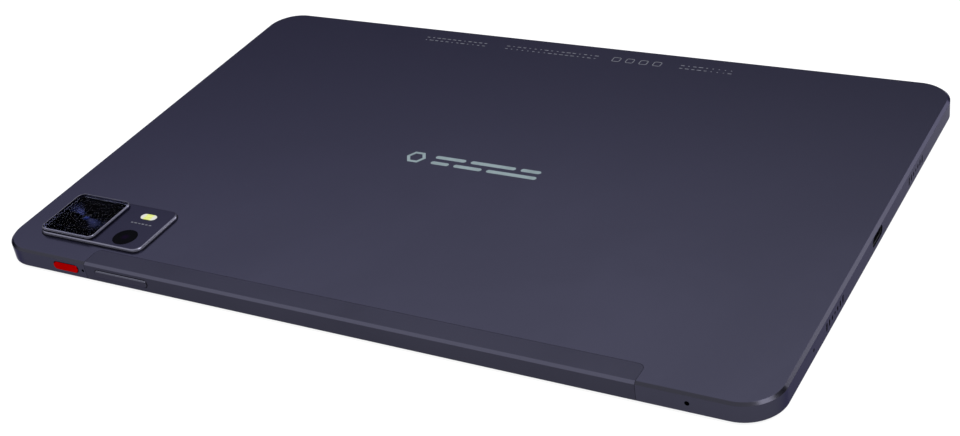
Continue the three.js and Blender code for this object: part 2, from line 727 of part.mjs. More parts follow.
const screwHole = ({ x, y }) => rod(SCREW_R + SCREW_GAP, boardZ - 1, boardTopZ + 1, x, y, 8);

function mainBoardBody() {
  const { x0, x1, y0, y1 } = mainBoard;
  const holes = boardScrews.filter(({ name }) => name.startsWith('main')).map(screwHole);
  return cut(box(x0, x1, y0, y1, boardZ, boardTopZ), ...holes);
}

function subBoardBody() {
  const { x0, x1, y0, y1 } = subBoard;
  const holes = boardScrews.filter(({ name }) => name.startsWith('sub')).map(screwHole);
  const notchHalf = MOUTH_LENGTH / 2 + PLACE_GAP;
  const notch = box(portX - PORT_DEPTH - PLACE_GAP, x1 + 1, -notchHalf, notchHalf, boardZ - 1, boardTopZ + 1);
  return cut(box(x0, x1, y0, y1, boardZ, boardTopZ), notch, ...holes);
}

// Where a shield lies along the main board, from its share of the stretch that carries them.
function shieldSpan(share0, share1) {
  const start = mainBoard.y0 + SHIELD_MARGIN;
  const span = mainBoard.y1 - SHIELD_MARGIN - start;
  return [start + share0 * span, start + share1 * span - SHIELD_GAP];
}

// A pressed can over a stretch of the main board, open towards the board.
function shield([y0, y1]) {
  const x0 = mainBoard.x0 + SHIELD_MARGIN;
  const x1 = mainBoard.x1 - SHIELD_MARGIN;
  const z0 = boardTopZ + 0.05;
  const z1 = partsTopZ - 0.1;
  const t = SHIELD_WALL;
  const inside = box(x0 + t, x1 - t, y0 + t, y1 - t, z0 - 1, z1 - t);
  return cut(box(x0, x1, y0, y1, z0, z1), inside);
}

// A metal cage under the main board, open towards the board and towards the tray's hole.
function cardReader() {
  const half = TRAY_WIDTH / 2 + TRAY_GAP;
  const outerHalf = half + READER_WALL;
  const y1 = far - SIDE_WALL - READER_FROM_WALL;
  const y0 = far - TRAY_FACE_THICK - TRAY_DEPTH - 1;
  const inside = box(trayX - half, trayX + half, y0 + READER_WALL, y1 + 1, readerZ + READER_WALL, boardZ + 1);
  return cut(box(trayX - outerHalf, trayX + outerHalf, y0, y1, readerZ, boardZ - FIT_GAP), inside);
}

// The face with the eject hole, and the carrier with a nest for each of two cards.
function cardTray() {
  const faceY = far - TRAY_FACE_THICK;
  const z0 = trayZ;
  const z1 = trayZ + TRAY_THICK;
  const half = TRAY_WIDTH / 2;
  const innerNestY = faceY - TRAY_DEPTH + TRAY_BAR;
  const outerNestY = innerNestY + TRAY_NEST + TRAY_BAR;
  const holeX = trayX + TRAY_FACE / 2 - EJECT_FROM_END;
  const nest = (y0, y1) => box(trayX - half + TRAY_BAR, trayX + half - TRAY_BAR, y0, y1, z0 - 1, z1 + 1);
  return cut(
    join(
      prism(roundedRect(TRAY_FACE, TRAY_FACE_HEIGHT, 0.85, trayX, sideMidZ), faceY, far, 'xz'),
      box(trayX - half, trayX + half, faceY - TRAY_DEPTH, faceY + 0.2, z0, z1),
    ),
    nest(innerNestY, innerNestY + TRAY_NEST),
    nest(outerNestY, faceY - TRAY_BAR),
    prism(circle(EJECT_HOLE_R, holeX, sideMidZ), faceY - 0.5, far + 1, 'xz', HOLE_ARC),
  );
}

function usbPort() {
  const x0 = portX - PORT_DEPTH;
  const outer = [MOUTH_LENGTH - 2 * PORT_GAP, MOUTH_HEIGHT - 2 * PORT_GAP];
  const inner = outer.map((size) => size - 2 * PORT_WALL);
  const back = x0 + PORT_BACK;
  const half = TONGUE_WIDTH / 2;
  const tongueZ = portZ - TONGUE_THICK / 2;
  const group = new THREE.Group();
  group.add(
    meshOf(
      'usb_port_shell',
      cut(
        prism(pill(...outer, 0, portZ), x0, portX, 'yz'),
        prism(pill(...inner, 0, portZ), back, portX + 1, 'yz'),
      ),
      steel,
    ),
    meshOf(
      'usb_port_tongue',
      box(back + FIT_GAP, portX - TONGUE_SUNK, -half, half, tongueZ, tongueZ + TONGUE_THICK),
      blackPlastic,
    ),
  );
  return group;
}

function screws() {
  const counts = {};
  const z = boardZ - FIT_GAP;
  const headZ = z - SCREW_HEAD;
  const arm = CROSS_WIDTH / 2;
  const reach = 0.7 * SCREW_HEAD_R;
  const screw = cut(
    join(rod(SCREW_HEAD_R, headZ, z, 0, 0, 12), rod(SCREW_R, z - 0.1, skinZ - 0.1, 0, 0, 8)),
    box(-reach, reach, -arm, arm, headZ - 1, headZ + CROSS_DEPTH),
    box(-arm, arm, -reach, reach, headZ - 1, headZ + CROSS_DEPTH),
  );
  return boardScrews.map(({ name, x, y }) => {
    counts[name] = (counts[name] ?? 0) + 1;
    return placed(meshOf(`${name}_${counts[name]}`, screw, steel), x, y, 0);
  });
}

// A flat cable: it lies on the display's back and steps up to a connector under each board that it reaches.
function flatCable(points, y0, y1) {
  const outline = new THREE.Shape();
  outline.setFromPoints([
    ...points.map(([x, z]) => new THREE.Vector2(x, z)),
    ...[...points].reverse().map(([x, z]) => new THREE.Vector2(x, z + FLEX_THICK)),
  ]);
  return prism(outline, y0, y1, 'xz');
}

function boards() {
  const plugZ = boardZ - FIT_GAP - CONNECTOR_HEIGHT;
  const connector = (x, y0, y1) =>
    box(x - CONNECTOR_HALF, x + CONNECTOR_HALF, y0, y1, plugZ, boardZ - FIT_GAP);
  const mainEdge = mainBoard.x1;
  const processorSpan = shieldSpan(0.34, 0.72);
  const spreader = box(
    mainBoard.x0 + SHIELD_MARGIN,
    mainEdge - SHIELD_MARGIN,
    ...processorSpan,
    partsTopZ - 0.05,
    skinZ - 0.1,
  );
  const fromMain = [
    [mainEdge - 5, plugZ],
    [mainEdge - 1, plugZ],
    [mainEdge + 2, flexZ],
  ];
  const toSub = [
    [subBoard.x0 - 2, flexZ],
    [subBoard.x0 + 1, plugZ],
    [subBoard.x0 + 5, plugZ],
  ];
  const linkParts = [
    flatCable([...fromMain, ...toSub], ...LINK_FLEX),
    connector(mainEdge - CONNECTOR_FROM_EDGE, ...LINK_FLEX),
    connector(subBoard.x0 + CONNECTOR_FROM_EDGE, ...LINK_FLEX),
  ];
  const displayParts = [
    flatCable([...fromMain, [mainEdge + 16, flexZ]], ...DISPLAY_FLEX),
    connector(mainEdge - CONNECTOR_FROM_EDGE, ...DISPLAY_FLEX),
  ];
  const group = new THREE.Group();
  group.add(
    meshOf('main_board', mainBoardBody(), boardGreen),
    meshOf('processor_shield', shield(processorSpan), steel),
    meshOf('power_shield', shield(shieldSpan(0, 0.34)), steel),
    meshOf('radio_shield', shield(shieldSpan(0.72, 1)), steel),
    meshOf('heat_spreader', spreader, graphite),
    meshOf('card_reader', cardReader(), steel),
    meshOf('board_link_flex', join(...linkParts), flexAmber),
    meshOf('display_flex', join(...displayParts), flexAmber),
    meshOf('sub_board', subBoardBody(), boardGreen),
    usbPort(),
    ...screws(),
  );
  return group;
}

// ---------------------------------------------------------------- battery, speakers, microphones, antennas

function battery() {
  const x0 = mainBoard.x1 + BATTERY_GAP;
  const x1 = subBoard.x0 - BATTERY_GAP;
  const cellLength = (x1 - x0 - CELL_GAP) / 2;
  const cell = prism(roundedRect(cellLength, BATTERY_LENGTH, BATTERY_R), partsZ, partsTopZ);
  const middleX = (x0 + x1) / 2;
  const halfBoard = BATTERY_BOARD_LENGTH / 2;
  const boardY1 = BATTERY_Y - BATTERY_LENGTH / 2 - CELL_GAP;
  const boardY0 = boardY1 - BATTERY_BOARD_WIDTH;
  const boardTop = partsZ + BATTERY_BOARD_THICK;
  const board = box(middleX - halfBoard, middleX + halfBoard, boardY0, boardY1, partsZ, boardTop);
  const group = new THREE.Group();
  group.add(
    placed(meshOf('battery_cell_left', cell, foil), x0 + cellLength / 2, BATTERY_Y, 0),
    placed(meshOf('battery_cell_right', cell, foil), x1 - cellLength / 2, BATTERY_Y, 0),
    meshOf('battery_board', board, boardGreen),
  );
  return group;
}

// A speaker box with its oval cone's recess on the display side, made about its own middle.
function speakerBody() {
  const z = partsZ;
  return cut(
    prism(roundedRect(SPEAKER_WIDTH, SPEAKER_LENGTH, 1.5), z, partsTopZ - 0.1),
    prism(pill(SPEAKER_WIDTH - 3, SPEAKER_LENGTH - 4), z - 1, z + 0.5),
  );
}

function speakers() {
  const body = speakerBody();
  const halfLength = MESH_LENGTH / 2;
  const z0 = sideMidZ - MESH_HEIGHT / 2;
  const mesh = box(-MESH_THICK / 2, MESH_THICK / 2, -halfLength, halfLength, z0, z0 + MESH_HEIGHT);
  const meshX = right - SIDE_WALL - STACK_GAP - MESH_THICK / 2;
  const bodyX = right - SIDE_WALL - MESH_THICK - SPEAKER_GAP - SPEAKER_WIDTH / 2;
  const group = new THREE.Group();
  for (const [end, sign] of [['port', 1], ['camera', -1]]) {
    for (const [edge, side] of [['key', -1], ['tray', 1]]) {
      const y = side * SPEAKER_Y;
      group.add(
        placed(meshOf(`speaker_${end}_end_${edge}_side`, body, blackPlastic), sign * bodyX, y, 0),
        placed(meshOf(`speaker_mesh_${end}_end_${edge}_side`, mesh, graphite), sign * meshX, y, 0),
      );
    }
  }
  return group;
}

// A small metal can behind each microphone hole.
function microphones() {
  const half = MIC_LENGTH / 2;
  const y0 = wallInsideY + MIC_GAP;
  const y1 = y0 + MIC_THICK;
  const x1 = right - SIDE_WALL - MIC_GAP;
  const x0 = x1 - MIC_THICK;
  const keyMicX = left + KEY_MIC_X + KEY_MIC_OFFSET;
  const edgeMicX = right - EDGE_MIC_X;
  const z0 = sideMidZ - MIC_HEIGHT / 2;
  const z1 = sideMidZ + MIC_HEIGHT / 2;
  const group = new THREE.Group();
  group.add(
    meshOf('microphone_keys', box(keyMicX - KEY_MIC_HALF, keyMicX + KEY_MIC_HALF, y0, y1, z0, z1), steel),
    meshOf('microphone_edge', box(edgeMicX - half, edgeMicX + half, y0, y1, z0, z1), steel),
    meshOf('microphone_port', box(x0, x1, -PORT_MIC_Y - half, -PORT_MIC_Y + half, z0, z1), steel),
  );
  return group;
}

// Plastic carriers just inside the antenna cover, with the antennas plated onto them.
function antennas() {
  const y0 = wallInsideY + MIC_GAP;
  const y1 = y0 + CARRIER_WIDTH;
  const top = partsTopZ - 0.1;
  const carrier = ([x0, x1]) => {
    const middle = (x0 + x1) / 2;
    const recess = box(middle - 12, middle + 12, y0 + 2, y1 + 1, displayBackZ - 1, top - CARRIER_TOP);
    return cut(box(x0, x1, y0, y1, displayBackZ + 0.25, top), recess);
  };
  const group = new THREE.Group();
  group.add(
    meshOf('mobile_antenna_carrier', carrier([14, antennaLength / 2 - 4]), blackPlastic),
    meshOf('wifi_antenna_carrier', carrier([-54, -6]), blackPlastic),
  );
  return group;
}

// ---------------------------------------------------------------- the tablet

const tablet = new THREE.Group();
tablet.add(
  meshOf('rear_cover', rearCover(), anodised),
  meshOf('antenna_cover', antennaCover(), antennaPlastic),
  meshOf('card_tray', cardTray(), anodised),
  display(),
  keys(),
  cameras(),
  frontCamera(),
  boards(),
  battery(),
  speakers(),
  microphones(),
  antennas(),
);

export default tablet;
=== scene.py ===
# An 11-inch tablet computer, lying on its display with its back up.
#
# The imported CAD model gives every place. This script gives the tablet its looks: smooth edges on what
# shows, real finishes on every piece, and the small printed marks.

import json
import math

import bmesh
import bpy
from mathutils import Matrix, Vector


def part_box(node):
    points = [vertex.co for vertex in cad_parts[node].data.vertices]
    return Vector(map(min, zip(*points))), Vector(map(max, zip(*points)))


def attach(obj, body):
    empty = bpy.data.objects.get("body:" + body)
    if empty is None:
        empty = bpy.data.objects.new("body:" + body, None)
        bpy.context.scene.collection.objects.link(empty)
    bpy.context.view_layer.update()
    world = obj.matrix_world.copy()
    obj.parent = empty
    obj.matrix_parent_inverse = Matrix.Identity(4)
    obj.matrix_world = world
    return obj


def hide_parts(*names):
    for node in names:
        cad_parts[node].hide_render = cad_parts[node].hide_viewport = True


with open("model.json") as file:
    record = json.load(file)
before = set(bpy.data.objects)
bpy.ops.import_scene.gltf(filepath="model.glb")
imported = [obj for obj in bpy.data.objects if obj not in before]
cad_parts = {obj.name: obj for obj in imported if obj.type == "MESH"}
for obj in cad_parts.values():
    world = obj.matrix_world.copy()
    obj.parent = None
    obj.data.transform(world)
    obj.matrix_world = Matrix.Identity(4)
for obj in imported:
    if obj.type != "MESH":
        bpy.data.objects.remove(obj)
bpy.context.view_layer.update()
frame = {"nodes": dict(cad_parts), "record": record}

MM = 0.001
CASE = "case"

# ---------------------------------------------------------------- sizes, in millimetres

CORNER_R = 11.4
CHAMFER_IN = 0.9
CHAMFER_DOWN = 0.7
RIM_CHAMFER = 0.3
SIDE_WALL = 1.3
SKIN = 0.8
SEAM = 0.1
EDGE_SOFT = 0.08  # how far the tub's cut edges are broken
CORNER_STEPS = 28
BOSS_R = 1.9
BOSS_DEPTH = 1.1

ANTENNA_R = 2.0
ISLAND_R = 3.4
ISLAND_ROUND = (0.7, 1.0)  # how far in and down its rounded edge goes
ISLAND_SKIN = 0.8
ISLAND_WALL = 1.2
LENS_FRAME_ROUND = (0.45, 0.9)
LENS_FRAME_R = 2.6
LENS_FRAME_WALL = 0.5
LENS_FRAME_SHELF = 0.8

KEY_CLEARANCE = 0.15
KEY_HEIGHT = 2.7
KEY_EDGE_R = 0.45
KEY_CROWN = 0.3  # how far from the key's middle line its edge stops
KEY_FLANGE = 0.4
KEY_FLANGE_LIP = 0.35
POWER_LENGTH = 9.9
VOLUME_LENGTH = 20.6

SLOT_WIDTH = 0.9
SLOT_PITCH = 2.2
SLOT_SHORTEST = 0.95
SLOT_STEP = 0.55  # how much taller each slot is than its neighbour nearer the middle
SLOT_COUNT = 7
GRILLE_Y = 37.1
SMALL_HOLE_R = 0.5
WIDE_HOLE_R = 0.7
KEY_MIC_X = -93.1
PORT_LENGTH = 9.0
PORT_HEIGHT = 3.2
PORT_WALL = 0.3
PORT_BACK_WALL = 1.0
CONTACT_PITCH = 0.5
CONTACT_WIDTH = 0.26
CONTACT_LENGTH = 3.2
CONTACT_THICK = 0.05
CONTACT_BACK = 2.2  # how far the contacts' middle is from the tongue's tip

TRAY_FACE_HEIGHT = 2.6
TRAY_FACE_DEPTH = 1.2
TRAY_FACE_R = 0.85
TRAY_CLEARANCE = 0.15
TRAY_DROP = 0.75  # how far the carrier hangs below the main board
CARRIER_WIDTH = 13.4
CARRIER_THICK = 0.6
NEST_WALL = 1.3
CARD_LENGTH = 10.0
EJECT_HOLE_R = 0.5

BEZEL_R = CORNER_R - SIDE_WALL - SEAM
BEZEL_RIM = 0.7
FRONT_CAMERA_HOLE_R = 1.7
GLASS_CHAMFER = 0.25
GLASS_CORNER_INSET = 0.85
BORDER = 10.5
SECOND_R = 4.0
EYE_R = 1.55
EYE_RISE = 0.18
EYE_ROOT = 0.3  # how far the eye reaches down into the barrel
WELL_WIDTH = 6.4
PAINTED_FAN_ANGLE = 155.0  # degrees from +X, of the line that the two painted fans of sheen lie along
GROOVE_PITCH = 0.24
RIDGE_PITCH = 1.15

PRINT_THICK = 0.012
PRINT_SINK = 0.004  # how far a print reaches into the surface under it
PRINT_Y = 77.2
PRINT_PITCH = 2.15
PRINT_LINES = (0.0, 1.9)  # how far each line of print is below the first
PRINT_RUNS = [(-61.0, -34.5, 11), (-28.0, 9.0, 12), (38.0, 58.0, 13)]  # start, end and random seed
DASH_WIDTH = 0.42
SYMBOLS_X = (15.5, 20.5, 25.5, 30.5)
SYMBOL_SIZE = 3.0
SYMBOL_LINE = 0.32
ISLAND_PRINT_Y = -61.4
MARK_X = -20.6
MARK_RING_R = 3.5
MARK_RING_HOLE_R = 2.3
MARK_BARS_X = 6.4  # from the ring's middle
MARK_BAR = 1.7
MARK_GAP = 1.8
MARK_ROWS = [(1.7, (11.0, 16.0, 7.0)), (-1.7, (6.5, 10.0, 17.5))]  # each row's Y and bar lengths

# How bright the room is at each height, from the horizon, 0, to straight overhead, 1.
WORLD_RAMP = [
    (0.0, 0.6), (0.16, 0.35), (0.38, 0.02), (0.53, 0.33), (0.62, 0.95), (0.75, 1.0), (1.0, 0.8),
]
WORLD_UP = (-0.18, 0.0, 1.0)
WORLD_STRENGTH = 1.85
FLOOR_GREY = 0.15
FLOOR_GLOW = 0.88
# Each softbox's name, direction, size in metres and radiance.
SOFTBOXES = [
    ("overhead", (0.52, -0.03, 0.85), (0.6, 0.6), 6.5),
    ("back_right_panel", (0.48, 0.80, 0.37), (0.6, 0.45), 5.2),
]
SOFTBOX_DISTANCE = 1.3

CAMERA_PLACE = (242.0, -375.5, 265.7)
CAMERA_TURN = 35.78
CAMERA_PITCH = 33.47
CAMERA_ROLL = -10.65
CAMERA_LENS = 61.27
CAMERA_SHIFT = (0.0651, 0.0568)


# ---------------------------------------------------------------- places, in millimetres, from the frame

def box_mm(node):
    low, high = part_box(node)
    return low / MM, high / MM


def middle(node):
    low, high = box_mm(node)
    return (low + high) / 2


cover_low, cover_high = box_mm("rear_cover")
BACK_Z = cover_high.z
RIM_Z = cover_low.z
LENGTH = cover_high.x - cover_low.x
WIDTH = cover_high.y - cover_low.y


# ---------------------------------------------------------------- meshes

def rounded_outline(length, width, radius, steps, x=0.0, y=0.0):
    """Points round a rectangle with four round corners, anticlockwise."""
    radius = max(min(radius, length / 2 - 1e-4, width / 2 - 1e-4), 1e-4)
    a = length / 2 - radius
    b = width / 2 - radius
    points = []
    for corner, (cx, cy) in enumerate([(a, b), (-a, b), (-a, -b), (a, -b)]):
        for i in range(steps + 1):
            angle = math.pi / 2 * (corner + i / steps)
            points.append((x + cx + radius * math.cos(angle), y + cy + radius * math.sin(angle)))
    return points


def linked(name, data):
    """A new object with that mesh, lamp or camera, in the scene."""
    made = bpy.data.objects.new(name, data)
    bpy.context.scene.collection.objects.link(made)
    return made


def linked_mesh(name, mesh):
    """An object from a bmesh, which is freed."""
    data = bpy.data.meshes.new(name)
    mesh.to_mesh(data)
    mesh.free()
    return linked(name, data)


# How a flat outline (u, v) and a level w become a place in the tablet's frame.
PLANES = {
    "xy": lambda u, v, w: (u, v, w),
    "yz": lambda u, v, w: (w, u, v),
    "xz": lambda u, v, w: (u, -w, v),
}


def mesh_object(name, rings, plane="xy", closed_profile=False):
    """A closed body through rings of (u, v, w) points, capped unless its profile closes on itself."""
    mesh = bmesh.new()
    place = PLANES[plane]
    rows = [[mesh.verts.new(Vector(place(*point)) * MM) for point in ring] for ring in rings]
    sides = len(rings[0])
    pairs = list(zip(rows, rows[1:]))
    if closed_profile:
        pairs.append((rows[-1], rows[0]))
    for lower, upper in pairs:
        for i in range(sides):
            j = (i + 1) % sides
            mesh.faces.new((lower[i], lower[j], upper[j], upper[i]))
    if not closed_profile:
        mesh.faces.new(rows[0][::-1])
        mesh.faces.new(rows[-1])
    bmesh.ops.remove_doubles(mesh, verts=mesh.verts, dist=1e-8)
    bmesh.ops.recalc_face_normals(mesh, faces=mesh.faces)
    return linked_mesh(name, mesh)


def softened(profile, radius, steps=4, closed=False):
    """A profile of (inset, level) points with each corner turned into a small arc."""
    points = [Vector(p) for p in profile]
    count = len(points)
    result = []
    for i, point in enumerate(points):
        if not closed and i in (0, count - 1):
            result.append(point)
            continue
        before = points[i - 1] - point
        after = points[(i + 1) % count] - point
        angle = before.angle(after)
        reach = min(radius / math.tan(angle / 2), 0.45 * before.length, 0.45 * after.length)
        start = point + before.normalized() * reach
        end = point + after.normalized() * reach
        result.append(start + before.normalized() * reach * 0.05)
        for k in range(steps + 1):
            t = k / steps
            result.append((1 - t) ** 2 * start + 2 * t * (1 - t) * point + t ** 2 * end)
        result.append(end + after.normalized() * reach * 0.05)
    return [tuple(p) for p in result]


def rounded_over(top, reach, steps=8):
    """Profile points for an edge rounded over from an upright side to a flat top."""
    across, down = reach
    turns = [math.pi / 2 * i / steps for i in range(steps + 1)]
    return [(across * (1 - math.cos(turn)), top - down + down * math.sin(turn)) for turn in turns]


def lofted(name, length, width, radius, profile, x=0.0, y=0.0, plane="xy", steps=12, closed_profile=False):
    """A rounded rectangle drawn in by each profile point's inset, at that point's level."""
    rings = []
    for inset, level in profile:
        outline = rounded_outline(length - 2 * inset, width - 2 * inset, radius - inset, steps, x, y)
        rings.append([(u, v, level) for u, v in outline])
    return mesh_object(name, rings, plane, closed_profile)


def prism(name, length, width, radius, low, high, x=0.0, y=0.0, plane="xy", steps=10):
    return lofted(name, length, width, radius, [(0, low), (0, high)], x, y, plane, steps)


def pill(name, length, width, low, high, x=0.0, y=0.0, plane="xy", steps=10):
    return prism(name, length, width, width / 2, low, high, x, y, plane, steps)


def disc(name, radius, low, high, x=0.0, y=0.0, plane="xy", steps=10):
    return prism(name, 2 * radius, 2 * radius, radius, low, high, x, y, plane, steps)


def discard(*objects):
    for unwanted in objects:
        bpy.data.objects.remove(unwanted, do_unlink=True)


def baked(source, name):
    """What source looks like after its modifiers, as a plain mesh object of that name. The source goes."""
    bpy.context.view_layer.update()
    graph = bpy.context.evaluated_depsgraph_get()
    data = bpy.data.meshes.new_from_object(source.evaluated_get(graph), depsgraph=graph)
    discard(source)
    data.name = name
    return linked(name, data)


def joined(name, *objects):
    mesh = bmesh.new()
    for part in objects:
        mesh.from_mesh(part.data)
    discard(*objects)
    return linked_mesh(name, mesh)


def with_boolean(body, tool, operation):
    name = body.name
    modifier = body.modifiers.new("boolean", "BOOLEAN")
    modifier.operation = operation
    modifier.solver = "EXACT"
    modifier.object = tool
    body.name = name + "_uncut"
    made = baked(body, name)
    discard(tool)
    return made


def carved(body, *cutters):
    """The body with each cutter taken out of it in turn."""
    for cutter in cutters:
        body = with_boolean(body, cutter, "DIFFERENCE")
    return body


def smooth(piece, sharp_from=30):
    for polygon in piece.data.polygons:
        polygon.use_smooth = True
    piece.data.set_sharp_from_angle(angle=math.radians(sharp_from))


def finish_piece(piece, body, slot, material, *replaced, sharp_from=30):
    """Shades the piece, paints it, and puts it on its body in place of the CAD nodes it stands for."""
    smooth(piece, sharp_from)
    piece.data.materials.clear()
    piece.data.materials.append(material)
    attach(piece, body)
    if replaced:
        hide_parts(*replaced)
    return piece


# ---------------------------------------------------------------- geometry node trees

def new_tree(name, inputs):
    """An empty geometry node tree. inputs is a list of (label, socket kind, value)."""
    tree = bpy.data.node_groups.new(name, "GeometryNodeTree")
    for label, kind, value in inputs:
        socket = tree.interface.new_socket(name=label, in_out="INPUT", socket_type=kind)
        if value is not None:
            socket.default_value = value
    tree.interface.new_socket(name="Geometry", in_out="OUTPUT", socket_type="NodeSocketGeometry")
    return tree


def add(tree, kind, inputs=None, **settings):
    """A node with its settings. Each input takes a value, or the output of another node that feeds it."""
    node = tree.nodes.new(kind)
    for key, value in settings.items():
        setattr(node, key, value)
    for label, value in (inputs or {}).items():
        if isinstance(value, bpy.types.NodeSocket):
            tree.links.new(value, node.inputs[label])
        else:
            node.inputs[label].default_value = value
    return node


def math_node(tree, operation, *values):
    """One maths step on sockets or numbers. Returns its output."""
    return add(tree, "ShaderNodeMath", dict(enumerate(values)), operation=operation).outputs[0]


def end_tree(tree, geometry, material_input):
    """Closes a tree: instances made real, one material, out."""
    real = add(tree, "GeometryNodeRealizeInstances", {"Geometry": geometry})
    paint = add(tree, "GeometryNodeSetMaterial", {
        "Geometry": real.outputs["Geometry"],
        "Material": material_input,
    })
    add(tree, "NodeGroupOutput", {"Geometry": paint.outputs["Geometry"]})


def grown(name, tree, **values):
    """The mesh that a tree makes with these input values."""
    seed = linked(name + "_seed", bpy.data.meshes.new(name + "_seed"))
    modifier = seed.modifiers.new("tree", "NODES")
    modifier.node_group = tree
    for item in tree.interface.items_tree:
        if item.in_out == "INPUT" and item.name in values:
            modifier[item.identifier] = values[item.name]
    return baked(seed, name)


def placed(piece, matrix):
    """Moves a piece's mesh, so that the object itself stays at the origin."""
    piece.data.transform(matrix)
    return piece


def pill_row_tree():
    """A row of pills along X. Each is longer than the shortest by Step for every place that it is from
    the middle, and by a random share of Spread. The pills stretch along Direction."""
    tree = new_tree("pill_row", [
        ("Count", "NodeSocketInt", 7),
        ("Pitch", "NodeSocketFloat", 0.0),
        ("Pill Width", "NodeSocketFloat", 0.0),
        ("Shortest", "NodeSocketFloat", 0.0),
        ("Step", "NodeSocketFloat", 0.0),
        ("Spread", "NodeSocketFloat", 0.0),
        ("Seed", "NodeSocketInt", 1),
        ("Depth", "NodeSocketFloat", 0.0),
        ("Direction", "NodeSocketVector", (0.0, 1.0, 0.0)),
        ("Material", "NodeSocketMaterial", None),
    ])
    given = add(tree, "NodeGroupInput").outputs

    # The pill: a rounded square or rectangle, filled and made thick.
    outline = add(tree, "GeometryNodeCurvePrimitiveQuadrilateral", {
        "Width": given["Pill Width"],
        "Height": given["Shortest"],
    })
    corners = add(tree, "GeometryNodeFilletCurve", {
        "Curve": outline.outputs["Curve"],
        "Count": 6,
        "Radius": math_node(tree, "MULTIPLY", given["Pill Width"], 0.49),
    }, mode="POLY")
    filled = add(tree, "GeometryNodeFillCurve", {"Curve": corners.outputs["Curve"]}, mode="NGONS")
    thick = add(tree, "GeometryNodeExtrudeMesh", {
        "Mesh": filled.outputs["Mesh"],
        "Offset Scale": given["Depth"],
        "Individual": False,
    }, mode="FACES")
    flipped = add(tree, "GeometryNodeFlipFaces", {"Mesh": filled.outputs["Mesh"]})
    both = add(tree, "GeometryNodeJoinGeometry", {"Geometry": flipped.outputs["Mesh"]})
    tree.links.new(thick.outputs["Mesh"], both.inputs["Geometry"])
    welded = add(tree, "GeometryNodeMergeByDistance", {
        "Geometry": both.outputs["Geometry"],
        "Distance": 1e-7,
    })

    # Each half of it knows which end it is.
    along = add(tree, "ShaderNodeVectorMath", {
        0: add(tree, "GeometryNodeInputPosition").outputs["Position"],
        1: given["Direction"],
    }, operation="DOT_PRODUCT")
    marked = add(tree, "GeometryNodeStoreNamedAttribute", {
        "Geometry": welded.outputs["Geometry"],
        "Name": "pill_end",
        "Value": math_node(tree, "SIGN", along.outputs["Value"]),
    }, data_type="FLOAT", domain="POINT")

    # The row, centred on the origin.
    half = math_node(tree, "MULTIPLY", math_node(tree, "SUBTRACT", given["Count"], 1.0), 0.5)
    first = math_node(tree, "MULTIPLY", math_node(tree, "MULTIPLY", half, given["Pitch"]), -1.0)
    line = add(tree, "GeometryNodeMeshLine", {
        "Count": given["Count"],
        "Start Location": add(tree, "ShaderNodeCombineXYZ", {"X": first}).outputs["Vector"],
        "Offset": add(tree, "ShaderNodeCombineXYZ", {"X": given["Pitch"]}).outputs["Vector"],
    })

    # How much longer each pill is, kept on its point until the pills are real.
    index = add(tree, "GeometryNodeInputIndex").outputs["Index"]
    from_middle = math_node(tree, "ABSOLUTE", math_node(tree, "SUBTRACT", index, half))
    chance = add(tree, "FunctionNodeRandomValue", {"Seed": given["Seed"]}, data_type="FLOAT")
    share = math_node(tree, "MULTIPLY", chance.outputs["Value"], given["Spread"])
    store = add(tree, "GeometryNodeStoreNamedAttribute", {
        "Geometry": line.outputs["Mesh"],
        "Name": "pill_extra",
        "Value": math_node(tree, "ADD", math_node(tree, "MULTIPLY", from_middle, given["Step"]), share),
    }, data_type="FLOAT", domain="POINT")
    row = add(tree, "GeometryNodeInstanceOnPoints", {
        "Points": store.outputs["Geometry"],
        "Instance": marked.outputs["Geometry"],
    })
    real = add(tree, "GeometryNodeRealizeInstances", {"Geometry": row.outputs["Instances"]})

    # Each pill's two ends move apart by half of that.
    end, more = [
        add(tree, "GeometryNodeInputNamedAttribute", {"Name": label}, data_type="FLOAT").outputs["Attribute"]
        for label in ("pill_end", "pill_extra")
    ]
    move = add(tree, "ShaderNodeVectorMath", {
        0: given["Direction"],
        "Scale": math_node(tree, "MULTIPLY", math_node(tree, "MULTIPLY", end, more), 0.5),
    }, operation="SCALE")
    stretched = add(tree, "GeometryNodeSetPosition", {
        "Geometry": real.outputs["Geometry"],
        "Offset": move.outputs["Vector"],
    })
    end_tree(tree, stretched.outputs["Geometry"], given["Material"])
    return tree


def groove_tree():
    """Fine round ridges about the origin, evenly spaced from the smallest radius outwards."""
    tree = new_tree("groove_rings", [
        ("Count", "NodeSocketInt", 12),
        ("Smallest", "NodeSocketFloat", 0.0),
        ("Pitch", "NodeSocketFloat", 0.0),
        ("Ridge Radius", "NodeSocketFloat", 0.0),
        ("Material", "NodeSocketMaterial", None),
    ])
    given = add(tree, "NodeGroupInput").outputs
    line = add(tree, "GeometryNodeMeshLine", {"Count": given["Count"], "Offset": (0.0, 0.0, 0.0)})
    circle = add(tree, "GeometryNodeCurvePrimitiveCircle", {"Resolution": 72, "Radius": 1.0})
    index = add(tree, "GeometryNodeInputIndex").outputs["Index"]
    radius = math_node(tree, "ADD", math_node(tree, "MULTIPLY", index, given["Pitch"]), given["Smallest"])
    scale = add(tree, "ShaderNodeCombineXYZ", {"X": radius, "Y": radius, "Z": radius})
    rings = add(tree, "GeometryNodeInstanceOnPoints", {
        "Points": line.outputs["Mesh"],
        "Instance": circle.outputs["Curve"],
        "Scale": scale.outputs["Vector"],
    })
    real = add(tree, "GeometryNodeRealizeInstances", {"Geometry": rings.outputs["Instances"]})
    section = add(tree, "GeometryNodeCurvePrimitiveCircle", {
        "Resolution": 6,
        "Radius": given["Ridge Radius"],
    })
    tube = add(tree, "GeometryNodeCurveToMesh", {
        "Curve": real.outputs["Geometry"],
        "Profile Curve": section.outputs["Curve"],
    })
    end_tree(tree, tube.outputs["Mesh"], given["Material"])
    return tree


pill_row = pill_row_tree()
groove_rings = groove_tree()


